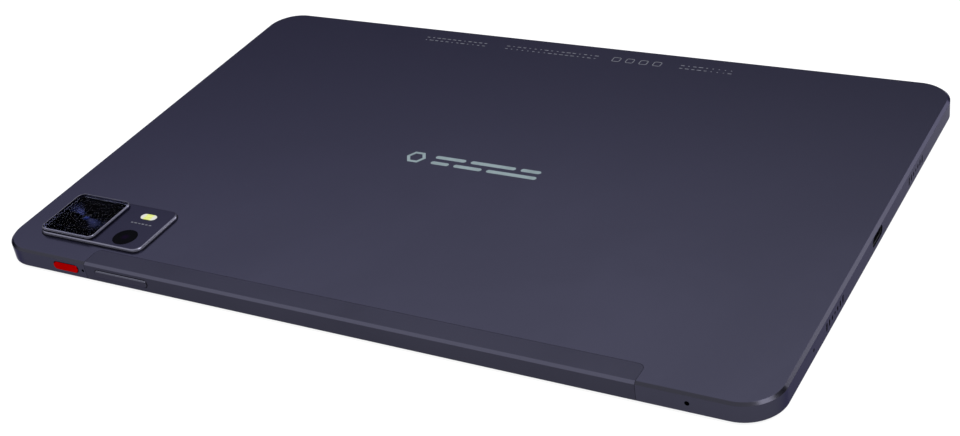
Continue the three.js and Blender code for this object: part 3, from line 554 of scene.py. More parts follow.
def row_of_pills(name, count, pitch, width, shortest, depth, **more):
    """A row from the pill tree, centred on the origin, with its sizes in millimetres."""
    return grown(name, pill_row, **{
        "Count": count,
        "Pitch": pitch * MM,
        "Pill Width": width * MM,
        "Shortest": shortest * MM,
        "Depth": depth * MM,
        **more,
    })


def row_of_dashes(count, pitch, width, spread, seed):
    """A row of printed dots and dashes of uneven length."""
    return row_of_pills(
        "dashes", count, pitch, width, width, PRINT_THICK + PRINT_SINK,
        Spread=spread * MM, Seed=seed, Direction=(1.0, 0.0, 0.0),
    )


# ---------------------------------------------------------------- finishes

def effect_group(name, inputs, outputs):
    """An empty shader node group. inputs and outputs are lists of (label, socket kind, value)."""
    group = bpy.data.node_groups.new(name, "ShaderNodeTree")
    for label, kind, value in inputs:
        group.interface.new_socket(name=label, in_out="INPUT", socket_type=kind).default_value = value
    for label, kind in outputs:
        group.interface.new_socket(name=label, in_out="OUTPUT", socket_type=kind)
    return group


def object_mm(tree, *axes):
    """The surface's place along each of the axes, in millimetres, from Object coordinates."""
    place = add(tree, "ShaderNodeTexCoord").outputs["Object"]
    split = add(tree, "ShaderNodeSeparateXYZ", {0: place})
    return [math_node(tree, "DIVIDE", split.outputs[axis], MM) for axis in axes]


def handling_group():
    """Faint, broad patches where a surface has been handled, and a tint that follows them."""
    group = effect_group(
        "handling",
        [
            ("Patch Size", "NodeSocketFloat", 25.0),
            ("Tint", "NodeSocketFloat", 0.1),
            ("Color", "NodeSocketColor", (1, 1, 1, 1)),
        ],
        [("Mask", "NodeSocketFloat"), ("Color", "NodeSocketColor")],
    )
    given = add(group, "NodeGroupInput").outputs
    noise = add(group, "ShaderNodeTexNoise", {
        "Vector": add(group, "ShaderNodeTexCoord").outputs["Object"],
        "Scale": math_node(group, "DIVIDE", 1.0 / MM, given["Patch Size"]),
        "Detail": 5.0,
        "Roughness": 0.62,
        "Distortion": 0.6,
    })
    mask = add(group, "ShaderNodeMapRange", {
        "Value": noise.outputs["Fac"],
        "From Min": 0.32,
        "From Max": 0.68,
    }, interpolation_type="SMOOTHSTEP").outputs["Result"]
    shade = math_node(group, "SUBTRACT", 1.0, math_node(group, "MULTIPLY", mask, given["Tint"]))
    tinted = add(group, "ShaderNodeVectorMath", {0: given["Color"], "Scale": shade}, operation="SCALE")
    add(group, "NodeGroupOutput", {"Mask": mask, "Color": tinted.outputs["Vector"]})
    return group


def grain_group():
    """The height of a blasted or moulded surface: fine noise whose size is in millimetres."""
    group = effect_group(
        "grain",
        [("Grain Size", "NodeSocketFloat", 0.2), ("Stretch", "NodeSocketVector", (1.0, 1.0, 1.0))],
        [("Height", "NodeSocketFloat")],
    )
    given = add(group, "NodeGroupInput").outputs
    place = add(group, "ShaderNodeTexCoord").outputs["Object"]
    pulled = add(group, "ShaderNodeVectorMath", {0: place, 1: given["Stretch"]}, operation="MULTIPLY")
    pattern = {
        "Vector": pulled.outputs["Vector"],
        "Scale": math_node(group, "DIVIDE", 1.0 / MM, given["Grain Size"]),
    }
    noise = add(group, "ShaderNodeTexNoise", {**pattern, "Detail": 3.0})
    pits = add(group, "ShaderNodeTexVoronoi", pattern)
    pit_depth = math_node(group, "MULTIPLY", pits.outputs["Distance"], 0.5)
    add(group, "NodeGroupOutput", {"Height": math_node(group, "ADD", noise.outputs["Fac"], pit_depth)})
    return group


handling = handling_group()
grain = grain_group()


def place_group(tree, group, **values):
    node = tree.nodes.new("ShaderNodeGroup")
    node.node_tree = group
    for label, value in values.items():
        node.inputs[label.replace("_", " ")].default_value = value
    return node


def finish_material(
    name, colour, roughness, metallic=0.0, spread=0.06, tint=0.12, patch=25.0,
    grain_size=0.25, grain_depth=0.004, stretch=(1.0, 1.0, 1.0), **shader_values,
):
    """A finish with its own grain, handling patches in its colour and gloss, and constant shader values."""
    material = bpy.data.materials.new(name)
    material.use_nodes = True
    tree = material.node_tree
    shader = tree.nodes["Principled BSDF"]
    patches = place_group(tree, handling, Patch_Size=patch, Tint=tint, Color=(*colour, 1.0))
    gloss = add(tree, "ShaderNodeMapRange", {
        "Value": patches.outputs["Mask"],
        "To Min": roughness - spread,
        "To Max": roughness + spread,
    })
    texture = place_group(tree, grain, Grain_Size=grain_size, Stretch=stretch)
    bump = add(tree, "ShaderNodeBump", {
        "Strength": 0.35,
        "Distance": grain_depth * MM,
        "Height": texture.outputs["Height"],
    })
    tree.links.new(patches.outputs["Color"], shader.inputs["Base Color"])
    tree.links.new(gloss.outputs["Result"], shader.inputs["Roughness"])
    tree.links.new(bump.outputs["Normal"], shader.inputs["Normal"])
    shader.inputs["Metallic"].default_value = metallic
    for label, value in shader_values.items():
        shader.inputs[label.replace("_", " ")].default_value = value
    return material


def band_group():
    """1 where a surface lies between two heights, in millimetres, and 0 elsewhere."""
    group = effect_group(
        "height_band",
        [("Low", "NodeSocketFloat", 0.0), ("High", "NodeSocketFloat", 1.0)],
        [("Mask", "NodeSocketFloat")],
    )
    given = add(group, "NodeGroupInput").outputs
    height = object_mm(group, "Z")[0]
    above = math_node(group, "GREATER_THAN", height, given["Low"])
    below = math_node(group, "LESS_THAN", height, given["High"])
    add(group, "NodeGroupOutput", {"Mask": math_node(group, "MULTIPLY", above, below)})
    return group


height_band = band_group()


def mix_in(material, socket, mask, value):
    """Blends what feeds one of the shader's sockets towards a colour or number, where the mask is 1."""
    tree = material.node_tree
    target = tree.nodes["Principled BSDF"].inputs[socket]
    colour = not isinstance(value, (int, float))
    mix = add(tree, "ShaderNodeMix", data_type="RGBA" if colour else "FLOAT")
    factor, before, after = [s for s in mix.inputs if s.enabled]
    made = [s for s in mix.outputs if s.enabled][0]
    if target.is_linked:
        tree.links.new(target.links[0].from_socket, before)
    else:
        before.default_value = target.default_value
    after.default_value = (*value, 1.0) if colour else value
    tree.links.new(mask, factor)
    tree.links.new(made, target)


def with_band(material, low, high, colour, roughness):
    """Gives a finish another colour and gloss between two heights: as on a chamfer cut after blasting, or as
    a painted highlight along an upper edge.
    """
    mask = place_group(material.node_tree, height_band, Low=low, High=high).outputs["Mask"]
    mix_in(material, "Base Color", mask, colour)
    mix_in(material, "Roughness", mask, roughness)
    return material


def radius_from(tree, x, y):
    """The distance in millimetres from an upright line at x, y, and the angle round it."""
    across, along = object_mm(tree, "X", "Y")
    dx = math_node(tree, "SUBTRACT", across, x)
    dy = math_node(tree, "SUBTRACT", along, y)
    squares = [math_node(tree, "MULTIPLY", side, side) for side in (dx, dy)]
    return math_node(tree, "SQRT", math_node(tree, "ADD", *squares)), math_node(tree, "ARCTAN2", dy, dx)


def step_down(tree, value, start, end):
    """1 below start, falling smoothly to 0 at end."""
    ramp = add(tree, "ShaderNodeMapRange", {
        "Value": value,
        "From Min": start,
        "From Max": end,
        "To Min": 1.0,
        "To Max": 0.0,
    }, interpolation_type="SMOOTHSTEP")
    return ramp.outputs["Result"]


def painted_hole_shade(material):
    """Paints shade on the sides of the holes in the walls, from a little way in: dark and rough where the
    holes' insides would lie in shadow.
    """
    tree = material.node_tree
    x, y, z = (math_node(tree, "ABSOLUTE", place) for place in object_mm(tree, *"XYZ"))
    wall_top = BACK_Z - CHAMFER_DOWN
    under_chamfer = step_down(tree, z, wall_top - 0.3, wall_top - 0.1)
    sides = ((x, cover_high.x, y, cover_high.y), (y, cover_high.y, x, cover_high.x))
    shade_in_wall = []
    for across, face, along, end in sides:
        inside = step_down(tree, across, face - HOLE_SHADE_DEPTH[1], face - HOLE_SHADE_DEPTH[0])
        straight = step_down(tree, along, end - CORNER_R - 0.5, end - CORNER_R)
        shade_in_wall.append(math_node(tree, "MULTIPLY", inside, straight))
    mask = math_node(tree, "MULTIPLY", under_chamfer, math_node(tree, "MAXIMUM", *shade_in_wall))
    # Painted shade: the holes' sides take a dark colour and a high roughness where they would lie in shadow.
    mix_in(material, "Base Color", mask, HOLE_SHADE_COLOUR)
    mix_in(material, "Roughness", mask, HOLE_SHADE_ROUGHNESS)
    return material


def anodised(name, colour, roughness, spread=0.03, tint=0.05, patch=12.0, grain_size=0.11, grain_depth=0.005,
             metallic=0.95):
    """A dyed, blasted metal, or plastic painted to match it, with a cool, muted shine seen edge on."""
    return finish_material(
        name, colour, roughness, metallic=metallic, spread=spread, tint=tint, patch=patch,
        grain_size=grain_size, grain_depth=grain_depth, Specular_Tint=COOL_EDGE,
    )


COOL_EDGE = (0.40, 0.395, 0.46, 1.0)
CASE_GREY = (0.041, 0.0405, 0.062)
BRIGHT_EDGE = (0.12, 0.118, 0.155)
# Painted shade for the insides of the holes in the walls: its colour, roughness and reach.
HOLE_SHADE_COLOUR = (0.003, 0.003, 0.005)
HOLE_SHADE_ROUGHNESS = 0.9
HOLE_SHADE_DEPTH = (0.03, 0.12)  # how far in from a wall's face the painted shade in its holes starts, and is full
BLACK_GLASS_IOR = 1.02  # so that black glass and what lies under it keep no grey shine
KEY_TOP_Z = middle("volume_rocker").z + KEY_HEIGHT / 2
ISLAND_TOP_Z = box_mm("camera_island")[1].z
CHAMFER_BAND = (BACK_Z - CHAMFER_DOWN + 0.02, BACK_Z - 0.02)
ISLAND_EDGE_BAND = (ISLAND_TOP_Z - ISLAND_ROUND[1] - 0.1, ISLAND_TOP_Z - 0.015)
# Painted highlight: the volume key's upper rounded edge is lighter, where it would catch the light from
# above.
KEY_PAINTED_HIGHLIGHT_BAND = (KEY_TOP_Z - KEY_EDGE_R, KEY_TOP_Z + 0.1)

blasted_aluminium = painted_hole_shade(with_band(
    anodised("blasted_aluminium", CASE_GREY, 0.23, spread=0.02, tint=0.04, patch=70.0),
    *CHAMFER_BAND, (0.025, 0.0245, 0.033), 0.19,
))
island_aluminium = with_band(
    anodised("island_aluminium", (0.027, 0.0265, 0.042), 0.23, patch=20.0),
    *ISLAND_EDGE_BAND, BRIGHT_EDGE, 0.2,
)
tray_aluminium = anodised("tray_aluminium", CASE_GREY, 0.25)
cut_aluminium = finish_material(
    "cut_aluminium", (0.12, 0.118, 0.16), 0.18, metallic=1.0, spread=0.03, tint=0.08, patch=12.0,
    grain_size=0.2, grain_depth=0.002, stretch=(1.0, 1.0, 6.0),
)
antenna_plastic = painted_hole_shade(with_band(
    anodised(
        "antenna_plastic", (0.035, 0.0345, 0.052), 0.33, patch=45.0, grain_size=0.16, grain_depth=0.006,
        metallic=0.93,
    ),
    *CHAMFER_BAND, (0.054, 0.053, 0.077), 0.36,
))
key_plastic = with_band(
    anodised(
        "key_plastic", (0.035, 0.034, 0.051), 0.25, grain_size=0.12, grain_depth=0.004, metallic=0.93,
    ),
    # Painted highlight along the key's upper edge.
    *KEY_PAINTED_HIGHLIGHT_BAND, (0.095, 0.095, 0.125), 0.25,
)
red_anodised = finish_material(
    "red_anodised", (0.34, 0.0, 0.001), 0.34, metallic=1.0, spread=0.04, tint=0.12, patch=4.0,
    grain_size=0.09, grain_depth=0.005, Specular_Tint=(0.6, 0.02, 0.02, 1.0),
)
silver_print = finish_material(
    "silver_print", (0.15, 0.20, 0.215), 0.42, metallic=0.2, spread=0.05, tint=0.16, patch=6.0,
    grain_size=0.08,
)
faint_print = finish_material(
    "faint_print", (0.095, 0.097, 0.12), 0.5, metallic=0.3, spread=0.05, tint=0.2, patch=3.0,
    grain_size=0.08,
)
pressed_steel = finish_material(
    "pressed_steel", (0.42, 0.43, 0.44), 0.3, metallic=1.0, spread=0.08, tint=0.15, patch=6.0,
    grain_size=0.25, stretch=(1.0, 12.0, 1.0),
)
blackened_steel = finish_material(
    "blackened_steel", (0.02, 0.02, 0.024), 0.4, metallic=1.0, spread=0.08, tint=0.15, patch=3.0,
    grain_size=0.2,
)
moulded_plastic = finish_material(
    "moulded_plastic", (0.013, 0.013, 0.015), 0.5, spread=0.08, tint=0.3, patch=9.0,
    grain_size=0.18, grain_depth=0.008,
)
light_guide = finish_material(
    "light_guide", (0.75, 0.76, 0.74), 0.3, tint=0.06, patch=30.0, grain_size=0.5, Specular_IOR_Level=0.6,
)
solder_resist = finish_material(
    "solder_resist", (0.010, 0.075, 0.045), 0.38, spread=0.1, tint=0.35, patch=3.0,
    grain_size=0.35, grain_depth=0.01,
)
pouch_foil = finish_material(
    "pouch_foil", (0.5, 0.51, 0.53), 0.34, metallic=0.8, spread=0.1, tint=0.2, patch=14.0, grain_size=0.7,
    grain_depth=0.02, stretch=(1.0, 3.0, 1.0),
)
amber_film = finish_material(
    "amber_film", (0.27, 0.10, 0.013), 0.3, spread=0.06, tint=0.25, patch=5.0,
    grain_size=0.4, stretch=(8.0, 1.0, 1.0),
)
graphite_sheet = finish_material(
    "graphite_sheet", (0.02, 0.02, 0.023), 0.6, metallic=0.2, spread=0.1, tint=0.3, patch=6.0, grain_size=0.3,
)
phosphor = finish_material("phosphor", (0.72, 0.66, 0.03), 0.45, tint=0.1, patch=1.0, grain_size=0.05)


def display_glass_finish():
    """Black glass, with the picture area a shade lighter than its printed border."""
    material = finish_material(
        "display_glass", (0.0022, 0.0022, 0.0028), 0.06, spread=0.02, tint=0.1, patch=40.0, grain_size=1.2,
        grain_depth=0.0004, Coat_Weight=0.6, Coat_Roughness=0.02,
    )
    tree = material.node_tree
    across = []
    for place, size in zip(object_mm(tree, "X", "Y"), (LENGTH, WIDTH)):
        distance = math_node(tree, "ABSOLUTE", place)
        across.append(math_node(tree, "LESS_THAN", distance, size / 2 - BORDER))
    mix_in(material, "Base Color", math_node(tree, "MULTIPLY", *across), (0.0075, 0.0078, 0.0095))
    return material


def clear_glass_finish():
    return finish_material(
        "lens_glass", (0.75, 0.77, 0.86), 0.035, spread=0.015, tint=0.05, patch=15.0, grain_size=1.5,
        grain_depth=0.0003, Transmission_Weight=1.0, IOR=BLACK_GLASS_IOR,
    )


def painted_fan_sheen():
    """The turned plate under the main lens, with a painted sheen: two opposite fans of bluish metal, rippled
    at the groove pitch, painted where its fine grooves would catch the light.
    """
    material = finish_material(
        "turned_plate", (0.002, 0.002, 0.003), 0.34, spread=0.05, tint=0.2, patch=5.0, grain_size=0.1,
        IOR=BLACK_GLASS_IOR,
    )
    tree = material.node_tree
    radius, angle = radius_from(tree, LENS_X, LENS_Y)
    turned = math_node(tree, "SUBTRACT", angle, math.radians(PAINTED_FAN_ANGLE))
    lobes = math_node(tree, "ABSOLUTE", math_node(tree, "SINE", turned))
    painted_fan = step_down(tree, lobes, 0.02, 0.42)
    fade = step_down(tree, radius, 3.0, 11.5)
    ripple = math_node(tree, "SINE", math_node(tree, "MULTIPLY", radius, 2 * math.pi / GROOVE_PITCH))
    painted_ripple_sheen = math_node(tree, "ADD", math_node(tree, "MULTIPLY", ripple, 0.22), 0.78)
    mask = math_node(tree, "MULTIPLY", math_node(tree, "MULTIPLY", painted_fan, fade), painted_ripple_sheen)
    # Painted reflection: the fans of light are painted into the plate's colour and metal.
    mix_in(material, "Base Color", mask, (0.026, 0.032, 0.105))
    mix_in(material, "Metallic", mask, 1.0)
    return material


def dark_disc_finish(name, x, y, core_radius, core_colour):
    """Black coated glass over a small camera: its middle shows a trace of colour."""
    material = finish_material(
        name, (0.002, 0.002, 0.003), 0.12, spread=0.03, tint=0.1, patch=4.0,
        grain_size=0.8, grain_depth=0.0004, IOR=BLACK_GLASS_IOR,
    )
    radius, _ = radius_from(material.node_tree, x, y)
    mix_in(material, "Base Color", step_down(material.node_tree, radius, 0.3, core_radius), core_colour)
    return material


def flash_finish(x):
    """A clear window over a white well, with the yellow emitter in its middle."""
    material = finish_material(
        "flash_diffuser", (0.40, 0.40, 0.36), 0.28, spread=0.05, tint=0.1, patch=1.5, grain_size=0.35,
        grain_depth=0.01, Coat_Weight=1.0, Coat_Roughness=0.04,
    )
    tree = material.node_tree
    along = object_mm(tree, "X")[0]
    from_middle = math_node(tree, "ABSOLUTE", math_node(tree, "SUBTRACT", along, x))
    mix_in(material, "Base Color", step_down(tree, from_middle, 0.9, 1.9), (0.42, 0.46, 0.03))
    return material


# ---------------------------------------------------------------- case

LENS_X, LENS_Y, _ = middle("main_lens_frame")
LENS_FRAME = box_mm("main_lens_frame")[1].x - box_mm("main_lens_frame")[0].x
SECOND_X, SECOND_Y, _ = middle("second_lens_glass")
FLASH_X, FLASH_Y, _ = middle("flash_window")
POWER_X = middle("power_button").x
VOLUME_X = middle("volume_rocker").x
TRAY_X = middle("card_tray").x
NEAR = cover_low.y
FAR = cover_high.y
RIGHT = cover_high.x
KEY_Z = middle("power_switch").z
HOLE_Z = middle("microphone_edge").z
PORT_Z = middle("usb_port_shell").z
ANTENNA_LOW, ANTENNA_HIGH = box_mm("antenna_cover")
THROUGH = SIDE_WALL + 1.0
TRAY_LEVEL = box_mm("main_board")[0].z - TRAY_DROP


def tub(name):
    """The tablet's whole shell with its hollow, which the rear and antenna covers are both cut from."""
    ceiling = BACK_Z - SKIN
    inside = [(SIDE_WALL + 0.6, ceiling), (SIDE_WALL, ceiling), (SIDE_WALL, RIM_Z)]
    outside = [
        (RIM_CHAMFER, RIM_Z),
        (0.0, RIM_Z + RIM_CHAMFER),
        (0.0, BACK_Z - CHAMFER_DOWN),
        (CHAMFER_IN, BACK_Z),
        (CHAMFER_IN + 0.6, BACK_Z),
    ]
    profile = inside[:2] + softened(inside[1:] + outside, EDGE_SOFT)[1:]
    return lofted(name, LENGTH, WIDTH, CORNER_R, profile, steps=CORNER_STEPS)


def antenna_notch(clearance):
    reach = 10.0
    length = ANTENNA_HIGH.x - ANTENNA_LOW.x + 2 * clearance
    depth = ANTENNA_HIGH.y - ANTENNA_LOW.y + clearance
    middle_y = NEAR + (depth - reach) / 2
    radius = ANTENNA_R + clearance
    return prism("notch", length, depth + reach, radius, RIM_Z - 1, BACK_Z + 1, 0.0, middle_y, steps=8)


def key_hole(x, length):
    length += 2 * KEY_CLEARANCE
    width = KEY_HEIGHT + 2 * KEY_CLEARANCE
    return pill("hole", length, width, -NEAR - THROUGH, -NEAR + 1, x, KEY_Z, "xz")


# Turns a row along X with upright ends to one along Y, whose thickness is along X.
ON_SHORT_EDGE = Matrix(((0, 0, 1, 0), (1, 0, 0, 0), (0, 1, 0, 0), (0, 0, 0, 1)))


def grille_cutters():
    """Four rows of upright slots, two in each short edge."""
    cutters = []
    for end in (-1, 1):
        for side in (-1, 1):
            row = row_of_pills(
                "slots", SLOT_COUNT, SLOT_PITCH, SLOT_WIDTH, SLOT_SHORTEST, 2 * THROUGH, Step=SLOT_STEP * MM,
            )
            start = Vector((end * RIGHT - THROUGH, side * GRILLE_Y, HOLE_Z))
            cutters.append(placed(row, Matrix.Translation(start * MM) @ ON_SHORT_EDGE))
    return cutters


def island_outline_prism(name, inset, low, high):
    low_corner, high_corner = box_mm("camera_island")
    length = high_corner.x - low_corner.x - 2 * inset
    width = high_corner.y - low_corner.y - 2 * inset
    centre = (low_corner + high_corner) / 2
    return prism(name, length, width, ISLAND_R - inset, low, high, centre.x, centre.y, steps=14)


def wall_hole(radius, x):
    return disc("hole", radius, -NEAR - THROUGH, -NEAR + 1, x, HOLE_Z, "xz", 6)


def make_rear_cover():
    tray_low, tray_high = box_mm("card_tray")
    inner = RIGHT - THROUGH
    outer = RIGHT + 1
    cutters = [
        antenna_notch(SEAM),
        key_hole(POWER_X, POWER_LENGTH),
        wall_hole(SMALL_HOLE_R, KEY_MIC_X),
        wall_hole(WIDE_HOLE_R, middle("microphone_edge").x),
        pill("mouth", PORT_LENGTH, PORT_HEIGHT, inner, outer, 0.0, PORT_Z, "yz"),
        disc("hole", SMALL_HOLE_R, inner, outer, middle("microphone_port").y, HOLE_Z, "yz", 6),
        prism(
            "tray_hole", tray_high.x - tray_low.x + 2 * TRAY_CLEARANCE, TRAY_FACE_HEIGHT + 2 * TRAY_CLEARANCE,
            TRAY_FACE_R + TRAY_CLEARANCE, -FAR - 1, -FAR + THROUGH, TRAY_X, HOLE_Z, "xz",
        ),
        island_outline_prism("island_hole", -SEAM, BACK_Z - SKIN - 1, BACK_Z + 1),
        *grille_cutters(),
    ]
    cover = carved(tub("rear_cover_fine"), joined("cutters", *cutters))
    bosses = []
    for node in frame["nodes"]:
        if "_screw_" in node:
            x, y, _ = middle(node)
            bosses.append(disc("boss", BOSS_R, BACK_Z - SKIN - BOSS_DEPTH, BACK_Z - SKIN / 2, x, y))
    return joined("rear_cover_fine", cover, *bosses)


def make_antenna_cover():
    cover = with_boolean(tub("antenna_cover_fine"), antenna_notch(0.0), "INTERSECT")
    return carved(cover, key_hole(VOLUME_X, VOLUME_LENGTH))


def make_key(name, node, length, flange_gap):
    """A cap with a soft edge, and a flange behind the wall."""
    flange_in = -NEAR - SIDE_WALL - flange_gap
    cap = -box_mm(node)[0].y
    profile = [
        (-KEY_FLANGE_LIP, flange_in - KEY_FLANGE),
        (-KEY_FLANGE_LIP, flange_in),
        (0.0, flange_in),
        (0.0, cap),
        (KEY_HEIGHT / 2 - KEY_CROWN, cap),
    ]
    soft = profile[:3] + softened(profile[2:], KEY_EDGE_R, steps=7)[1:]
    return lofted(name, length, KEY_HEIGHT, KEY_HEIGHT / 2, soft, middle(node).x, KEY_Z, "xz", 12)


def make_island():
    low, high = box_mm("camera_island")
    size = high - low
    centre = (low + high) / 2
    profile = [(0.0, low.z), *rounded_over(high.z, ISLAND_ROUND, 10), (ISLAND_ROUND[0] + 0.1, high.z)]
    island = lofted("camera_island_fine", size.x, size.y, ISLAND_R, profile, centre.x, centre.y, steps=16)
    opening = LENS_FRAME - 2 * (LENS_FRAME_WALL + 0.6)
    flash_low, flash_high = box_mm("flash_window")
    flash = flash_high - flash_low
    down = high.z - 3
    up = high.z + 1
    return carved(
        island,
        island_outline_prism("recess", ISLAND_WALL, low.z - 1, high.z - ISLAND_SKIN),
        prism("opening", opening, opening, 1.8, down, up, LENS_X, LENS_Y),
        disc("second_hole", SECOND_R + SEAM, down, up, SECOND_X, SECOND_Y, steps=16),
        pill("flash_hole", flash.x + 2 * SEAM, flash.y + 2 * SEAM, down, up, FLASH_X, FLASH_Y),
    )


def make_lens_frame():
    low, high = box_mm("main_lens_frame")
    wall = LENS_FRAME_WALL
    shelf = wall + LENS_FRAME_SHELF
    shelf_top = low.z + 0.35
    outside = [(shelf, low.z), (0.0, low.z), *rounded_over(high.z, LENS_FRAME_ROUND)]
    profile = outside + [(wall, high.z - 0.04), (wall, shelf_top), (shelf, shelf_top)]
    return lofted(
        "main_lens_frame_fine", LENS_FRAME, LENS_FRAME, LENS_FRAME_R, profile, LENS_X, LENS_Y, steps=14,
        closed_profile=True,
    )


def soft_plate(name, node, radius, edge):
    """A flat plate in a node's place, with round corners and its edges broken."""
    low, high = box_mm(node)
    size = high - low
    centre = (low + high) / 2
    deep = min(size.x, size.y) * 0.2
    profile = softened([(deep, low.z), (0.0, low.z), (0.0, high.z), (deep, high.z)], edge)
    return lofted(name, size.x, size.y, radius, profile, centre.x, centre.y, steps=14)


def make_display_glass():
    low, high = box_mm("display_glass")
    profile = [
        (3.0, low.z),
        (GLASS_CHAMFER, low.z),
        (0.0, low.z + GLASS_CHAMFER),
        (0.0, high.z),
        (3.0, high.z),
    ]
    size = high - low
    radius = BEZEL_R - GLASS_CORNER_INSET
    return lofted("display_glass_fine", size.x, size.y, radius, softened(profile, 0.2), steps=CORNER_STEPS)


def make_bezel():
    low, high = box_mm("display_bezel")
    size = high - low
    profile = softened([(BEZEL_RIM, low.z), (0.0, low.z), (0.0, high.z), (BEZEL_RIM, high.z)], 0.1)
    bezel = lofted("display_bezel_fine", size.x, size.y, BEZEL_R, profile, steps=CORNER_STEPS)
    seat = (size.x - 2 * BEZEL_RIM, size.y - 2 * BEZEL_RIM, BEZEL_R - BEZEL_RIM)
    glass_top = box_mm("display_glass")[1].z
    pan_low, pan_high = box_mm("backlight_pan")
    pan = pan_high - pan_low
    down = low.z - 1
    up = high.z + 1
    return carved(
        bezel,
        prism("seat", *seat, down, glass_top + SEAM, steps=CORNER_STEPS),
        prism("opening", pan.x + 0.5, pan.y + 0.5, 2.0, down, up),
        disc("camera_hole", FRONT_CAMERA_HOLE_R, down, up, 0.0, middle("front_camera_module").y),
    )


def make_tray():
    """The face with soft edges and the eject hole, and the carrier with its two nests."""
    low, high = box_mm("card_tray")
    front = -high.y
    back = front + TRAY_FACE_DEPTH
    profile = softened([(0.4, front), (0.0, front), (0.0, back), (0.4, back)], 0.12)
    face = lofted(
        "face", high.x - low.x, TRAY_FACE_HEIGHT, TRAY_FACE_R, profile, TRAY_X, HOLE_Z, "xz",
    )
    face = carved(face, disc("eject", EJECT_HOLE_R, front - 1, front + 0.7, high.x - 1.6, HOLE_Z, "xz", 8))
    length = high.y - low.y - TRAY_FACE_DEPTH
    top = TRAY_LEVEL + CARRIER_THICK
    carrier = prism("carrier", CARRIER_WIDTH, length, 1.2, TRAY_LEVEL, top, TRAY_X, low.y + length / 2)
    first_end = NEST_WALL + CARD_LENGTH
    for start, end in ((NEST_WALL, first_end), (first_end + NEST_WALL, length - NEST_WALL)):
        width = CARRIER_WIDTH - 2 * NEST_WALL
        place = low.y + (start + end) / 2
        nest = prism("nest", width, end - start, 0.8, TRAY_LEVEL - 1, TRAY_LEVEL + 2, TRAY_X, place)
        carrier = carved(carrier, nest)
    return joined("card_tray_fine", face, carrier)


def make_usb_shell():
    """The drawn steel shell of the port: open at its mouth, with its lip rolled."""
    low, high = box_mm("usb_port_shell")
    width = high.y - low.y
    height = high.z - low.z
    floor = low.x + PORT_BACK_WALL
    profile = [
        (1.0, low.x),
        (0.0, low.x),
        (0.0, high.x),
        (PORT_WALL, high.x),
        (PORT_WALL, floor),
        (PORT_WALL + 1.0, floor),
    ]
    soft = softened(profile, 0.1)
    return lofted("usb_port_shell_fine", width, height, height / 2, soft, 0.0, PORT_Z, "yz", 14)


def make_usb_contacts():
    """The row of contacts on the tongue's upper side and its lower side."""
    low, high = box_mm("usb_port_tongue")
    rows = []
    for level in (low.z - 0.03, high.z - 0.02):
        row = row_of_pills("contacts", 12, CONTACT_PITCH, CONTACT_WIDTH, CONTACT_LENGTH, CONTACT_THICK)
        place = Vector((high.x - CONTACT_BACK, 0.0, level))
        rows.append(placed(row, Matrix.Translation(place * MM) @ Matrix.Rotation(math.pi / 2, 4, "Z")))
    return joined("usb_port_contacts", *rows)


def make_turned_plate():
    """The plate under the main lens glass, with its fine raised grooves and the sunk well of the lens."""
    low, high = box_mm("main_lens_trim")
    plate = soft_plate("turned_plate", "main_lens_trim", 0.9, 0.04)
    profile = [(1.3, low.z - 1), (1.3, low.z + 0.1), (0.0, high.z + 0.02), (0.0, high.z + 1)]
    well = lofted("well", WELL_WIDTH, WELL_WIDTH, WELL_WIDTH / 2, profile, LENS_X, LENS_Y, steps=14)
    grooves = grown("grooves", groove_rings, **{
        "Count": 6,
        "Smallest": 3.5 * MM,
        "Pitch": RIDGE_PITCH * MM,
        "Ridge Radius": 0.07 * MM,
    })
    placed(grooves, Matrix.Translation(Vector((LENS_X, LENS_Y, high.z - 0.03)) * MM))
    return joined("main_lens_trim_fine", carved(plate, well), grooves)


def make_lens_eye():
    """The front element of the main camera: a low dome, which moves as the camera focuses."""
    barrel_top = box_mm("main_camera_lens_barrel")[1].z
    root = barrel_top - EYE_ROOT
    profile = [(EYE_R * 0.5, root), (0.0, root)]
    for i in range(9):
        angle = math.radians(80 * i / 8)
        profile.append((EYE_R * (1 - math.cos(angle)), barrel_top + EYE_RISE * math.sin(angle)))
    return lofted("main_camera_front_lens", 2 * EYE_R, 2 * EYE_R, EYE_R, profile, LENS_X, LENS_Y, steps=12)


def make_mark():
    """A plain mark in place of a maker's: a six-sided ring beside two rows of bars."""
    low = BACK_Z - PRINT_SINK
    high = BACK_Z + PRINT_THICK
    outer = MARK_RING_R
    inner = MARK_RING_HOLE_R
    turns = [math.radians(angle) for angle in range(0, 360, 60)]
    ring = []
    for radius, level in ((outer, low), (outer, high), (inner, high), (inner, low)):
        ring.append([(MARK_X + radius * math.cos(t), radius * math.sin(t), level) for t in turns])
    pieces = [mesh_object("ring", ring, closed_profile=True)]
    for y, lengths in MARK_ROWS:
        start = MARK_X + MARK_BARS_X
        for length in lengths:
            pieces.append(pill("bar", length, MARK_BAR, low, high, start + length / 2, y, steps=8))
            start += length + MARK_GAP
    return joined("back_mark", *pieces)


def make_small_print():
    """Two rows of dashes of uneven length near the far edge, and four empty rounded squares."""
    low = BACK_Z - PRINT_SINK
    high = BACK_Z + PRINT_THICK
    rows = []
    for start, end, seed in PRINT_RUNS:
        count = round((end - start) / PRINT_PITCH)
        for line in PRINT_LINES:
            row = row_of_dashes(count, PRINT_PITCH, DASH_WIDTH, 1.35, seed + round(10 * line))
            place = Vector(((start + end) / 2, PRINT_Y - line, low))
            rows.append(placed(row, Matrix.Translation(place * MM)))
    profile = [(0.0, low), (0.0, high), (SYMBOL_LINE, high), (SYMBOL_LINE, low)]
    size = SYMBOL_SIZE
    for x in SYMBOLS_X:
        rows.append(lofted("box", size, size, 0.7, profile, x, PRINT_Y - 0.9, closed_profile=True, steps=5))
    return joined("small_print", *rows)


